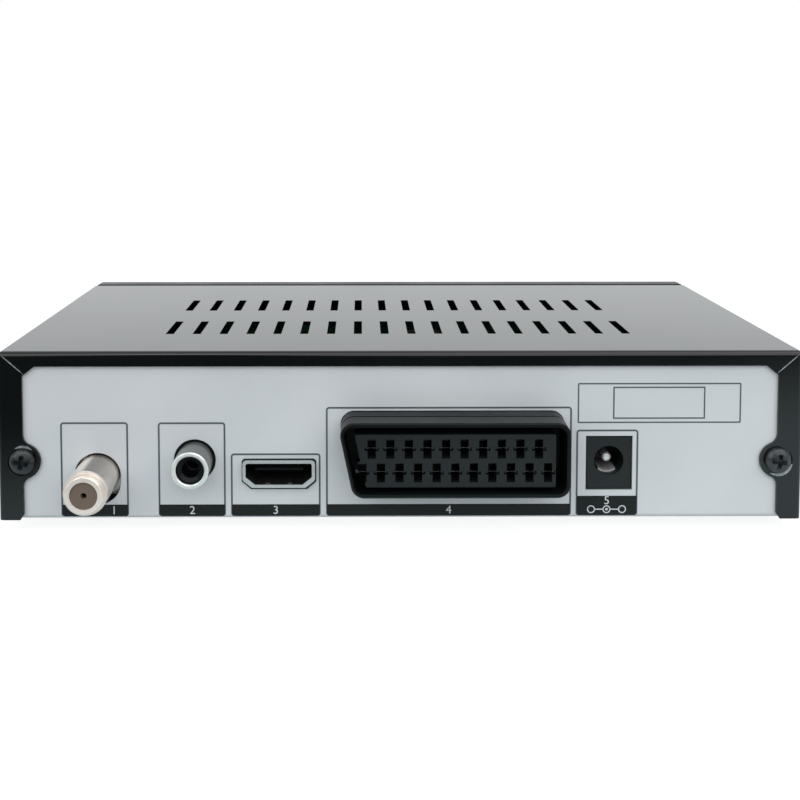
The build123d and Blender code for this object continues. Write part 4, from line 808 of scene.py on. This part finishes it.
mesh = bpy.data.meshes.new("bench")
bench_corners = [(-bench_size, -bench_size, 0), (bench_size, -bench_size, 0),
                 (bench_size, bench_size, 0), (-bench_size, bench_size, 0)]
mesh.from_pydata(bench_corners, [], [(0, 1, 2, 3)])
bench = bpy.data.objects.new("bench", mesh)
bpy.context.scene.collection.objects.link(bench)
white = bpy.data.materials.new("white_bench")
white.use_nodes = True
mesh.materials.append(white)
tree = white.node_tree
tree.nodes.clear()
by_camera, directly = seen_directly(tree)
slanted = part_of(tree, "Object", bench_slant)
mirrored = fade(tree, slanted, bench_bright_until, bench_dim_from, 1.0, dim_side)
glow_level = choose(tree, directly, 0.0, choose(tree, by_camera, mirrored, bench_glow))
lit_level = choose(tree, directly, bounced_share, choose(tree, by_camera, mirrored_share, bench_share))
lit = tree.nodes.new("ShaderNodeBsdfDiffuse")
glow = tree.nodes.new("ShaderNodeEmission")
both = tree.nodes.new("ShaderNodeAddShader")
out = tree.nodes.new("ShaderNodeOutputMaterial")
tree.links.new(lit_level, lit.inputs["Color"])
tree.links.new(glow_level, glow.inputs["Strength"])
tree.links.new(tinted(tree, by_camera, bench_tint), glow.inputs["Color"])
tree.links.new(lit.outputs["BSDF"], both.inputs[0])
tree.links.new(glow.outputs["Emission"], both.inputs[1])
tree.links.new(both.outputs["Shader"], out.inputs["Surface"])

world = bpy.data.worlds.new("white_room")
world.use_nodes = True
bpy.context.scene.world = world
tree = world.node_tree
by_camera, directly = seen_directly(tree)
towards_viewer = part_of(tree, "Generated")
mirrored = fade(tree, towards_viewer, room_bright_until, room_dim_from, room_bright, dim_side)
room = choose(tree, directly, room_light, choose(tree, by_camera, mirrored, 1.0))
tree.links.new(room, tree.nodes["Background"].inputs["Strength"])
tree.links.new(tinted(tree, by_camera, room_tint), tree.nodes["Background"].inputs["Color"])


def soft_box(name, place, aim, size, watts, tint):
    """A square lamp at a place, turned to face the point that it aims at."""
    lamp = bpy.data.lights.new(name, "AREA")
    lamp.shape = "SQUARE"
    lamp.size = size
    lamp.energy = watts
    lamp.color = tint
    holder = bpy.data.objects.new(name, lamp)
    bpy.context.scene.collection.objects.link(holder)
    holder.location = place
    holder.rotation_mode = "QUATERNION"
    holder.rotation_quaternion = Vector(np.array(aim) - np.array(place)).to_track_quat("-Z", "Y")
    return holder


soft_box("key_lamp", (-0.5, 0.9, 1.0), lamp_aim, 1.8, 17, (1.0, 0.98, 1.0))
soft_box("fill_lamp", (0.8, 0.9, 0.8), lamp_aim, 1.2, 8, (0.96, 1.0, 0.985))

bpy.context.scene.view_settings.view_transform = "Standard"
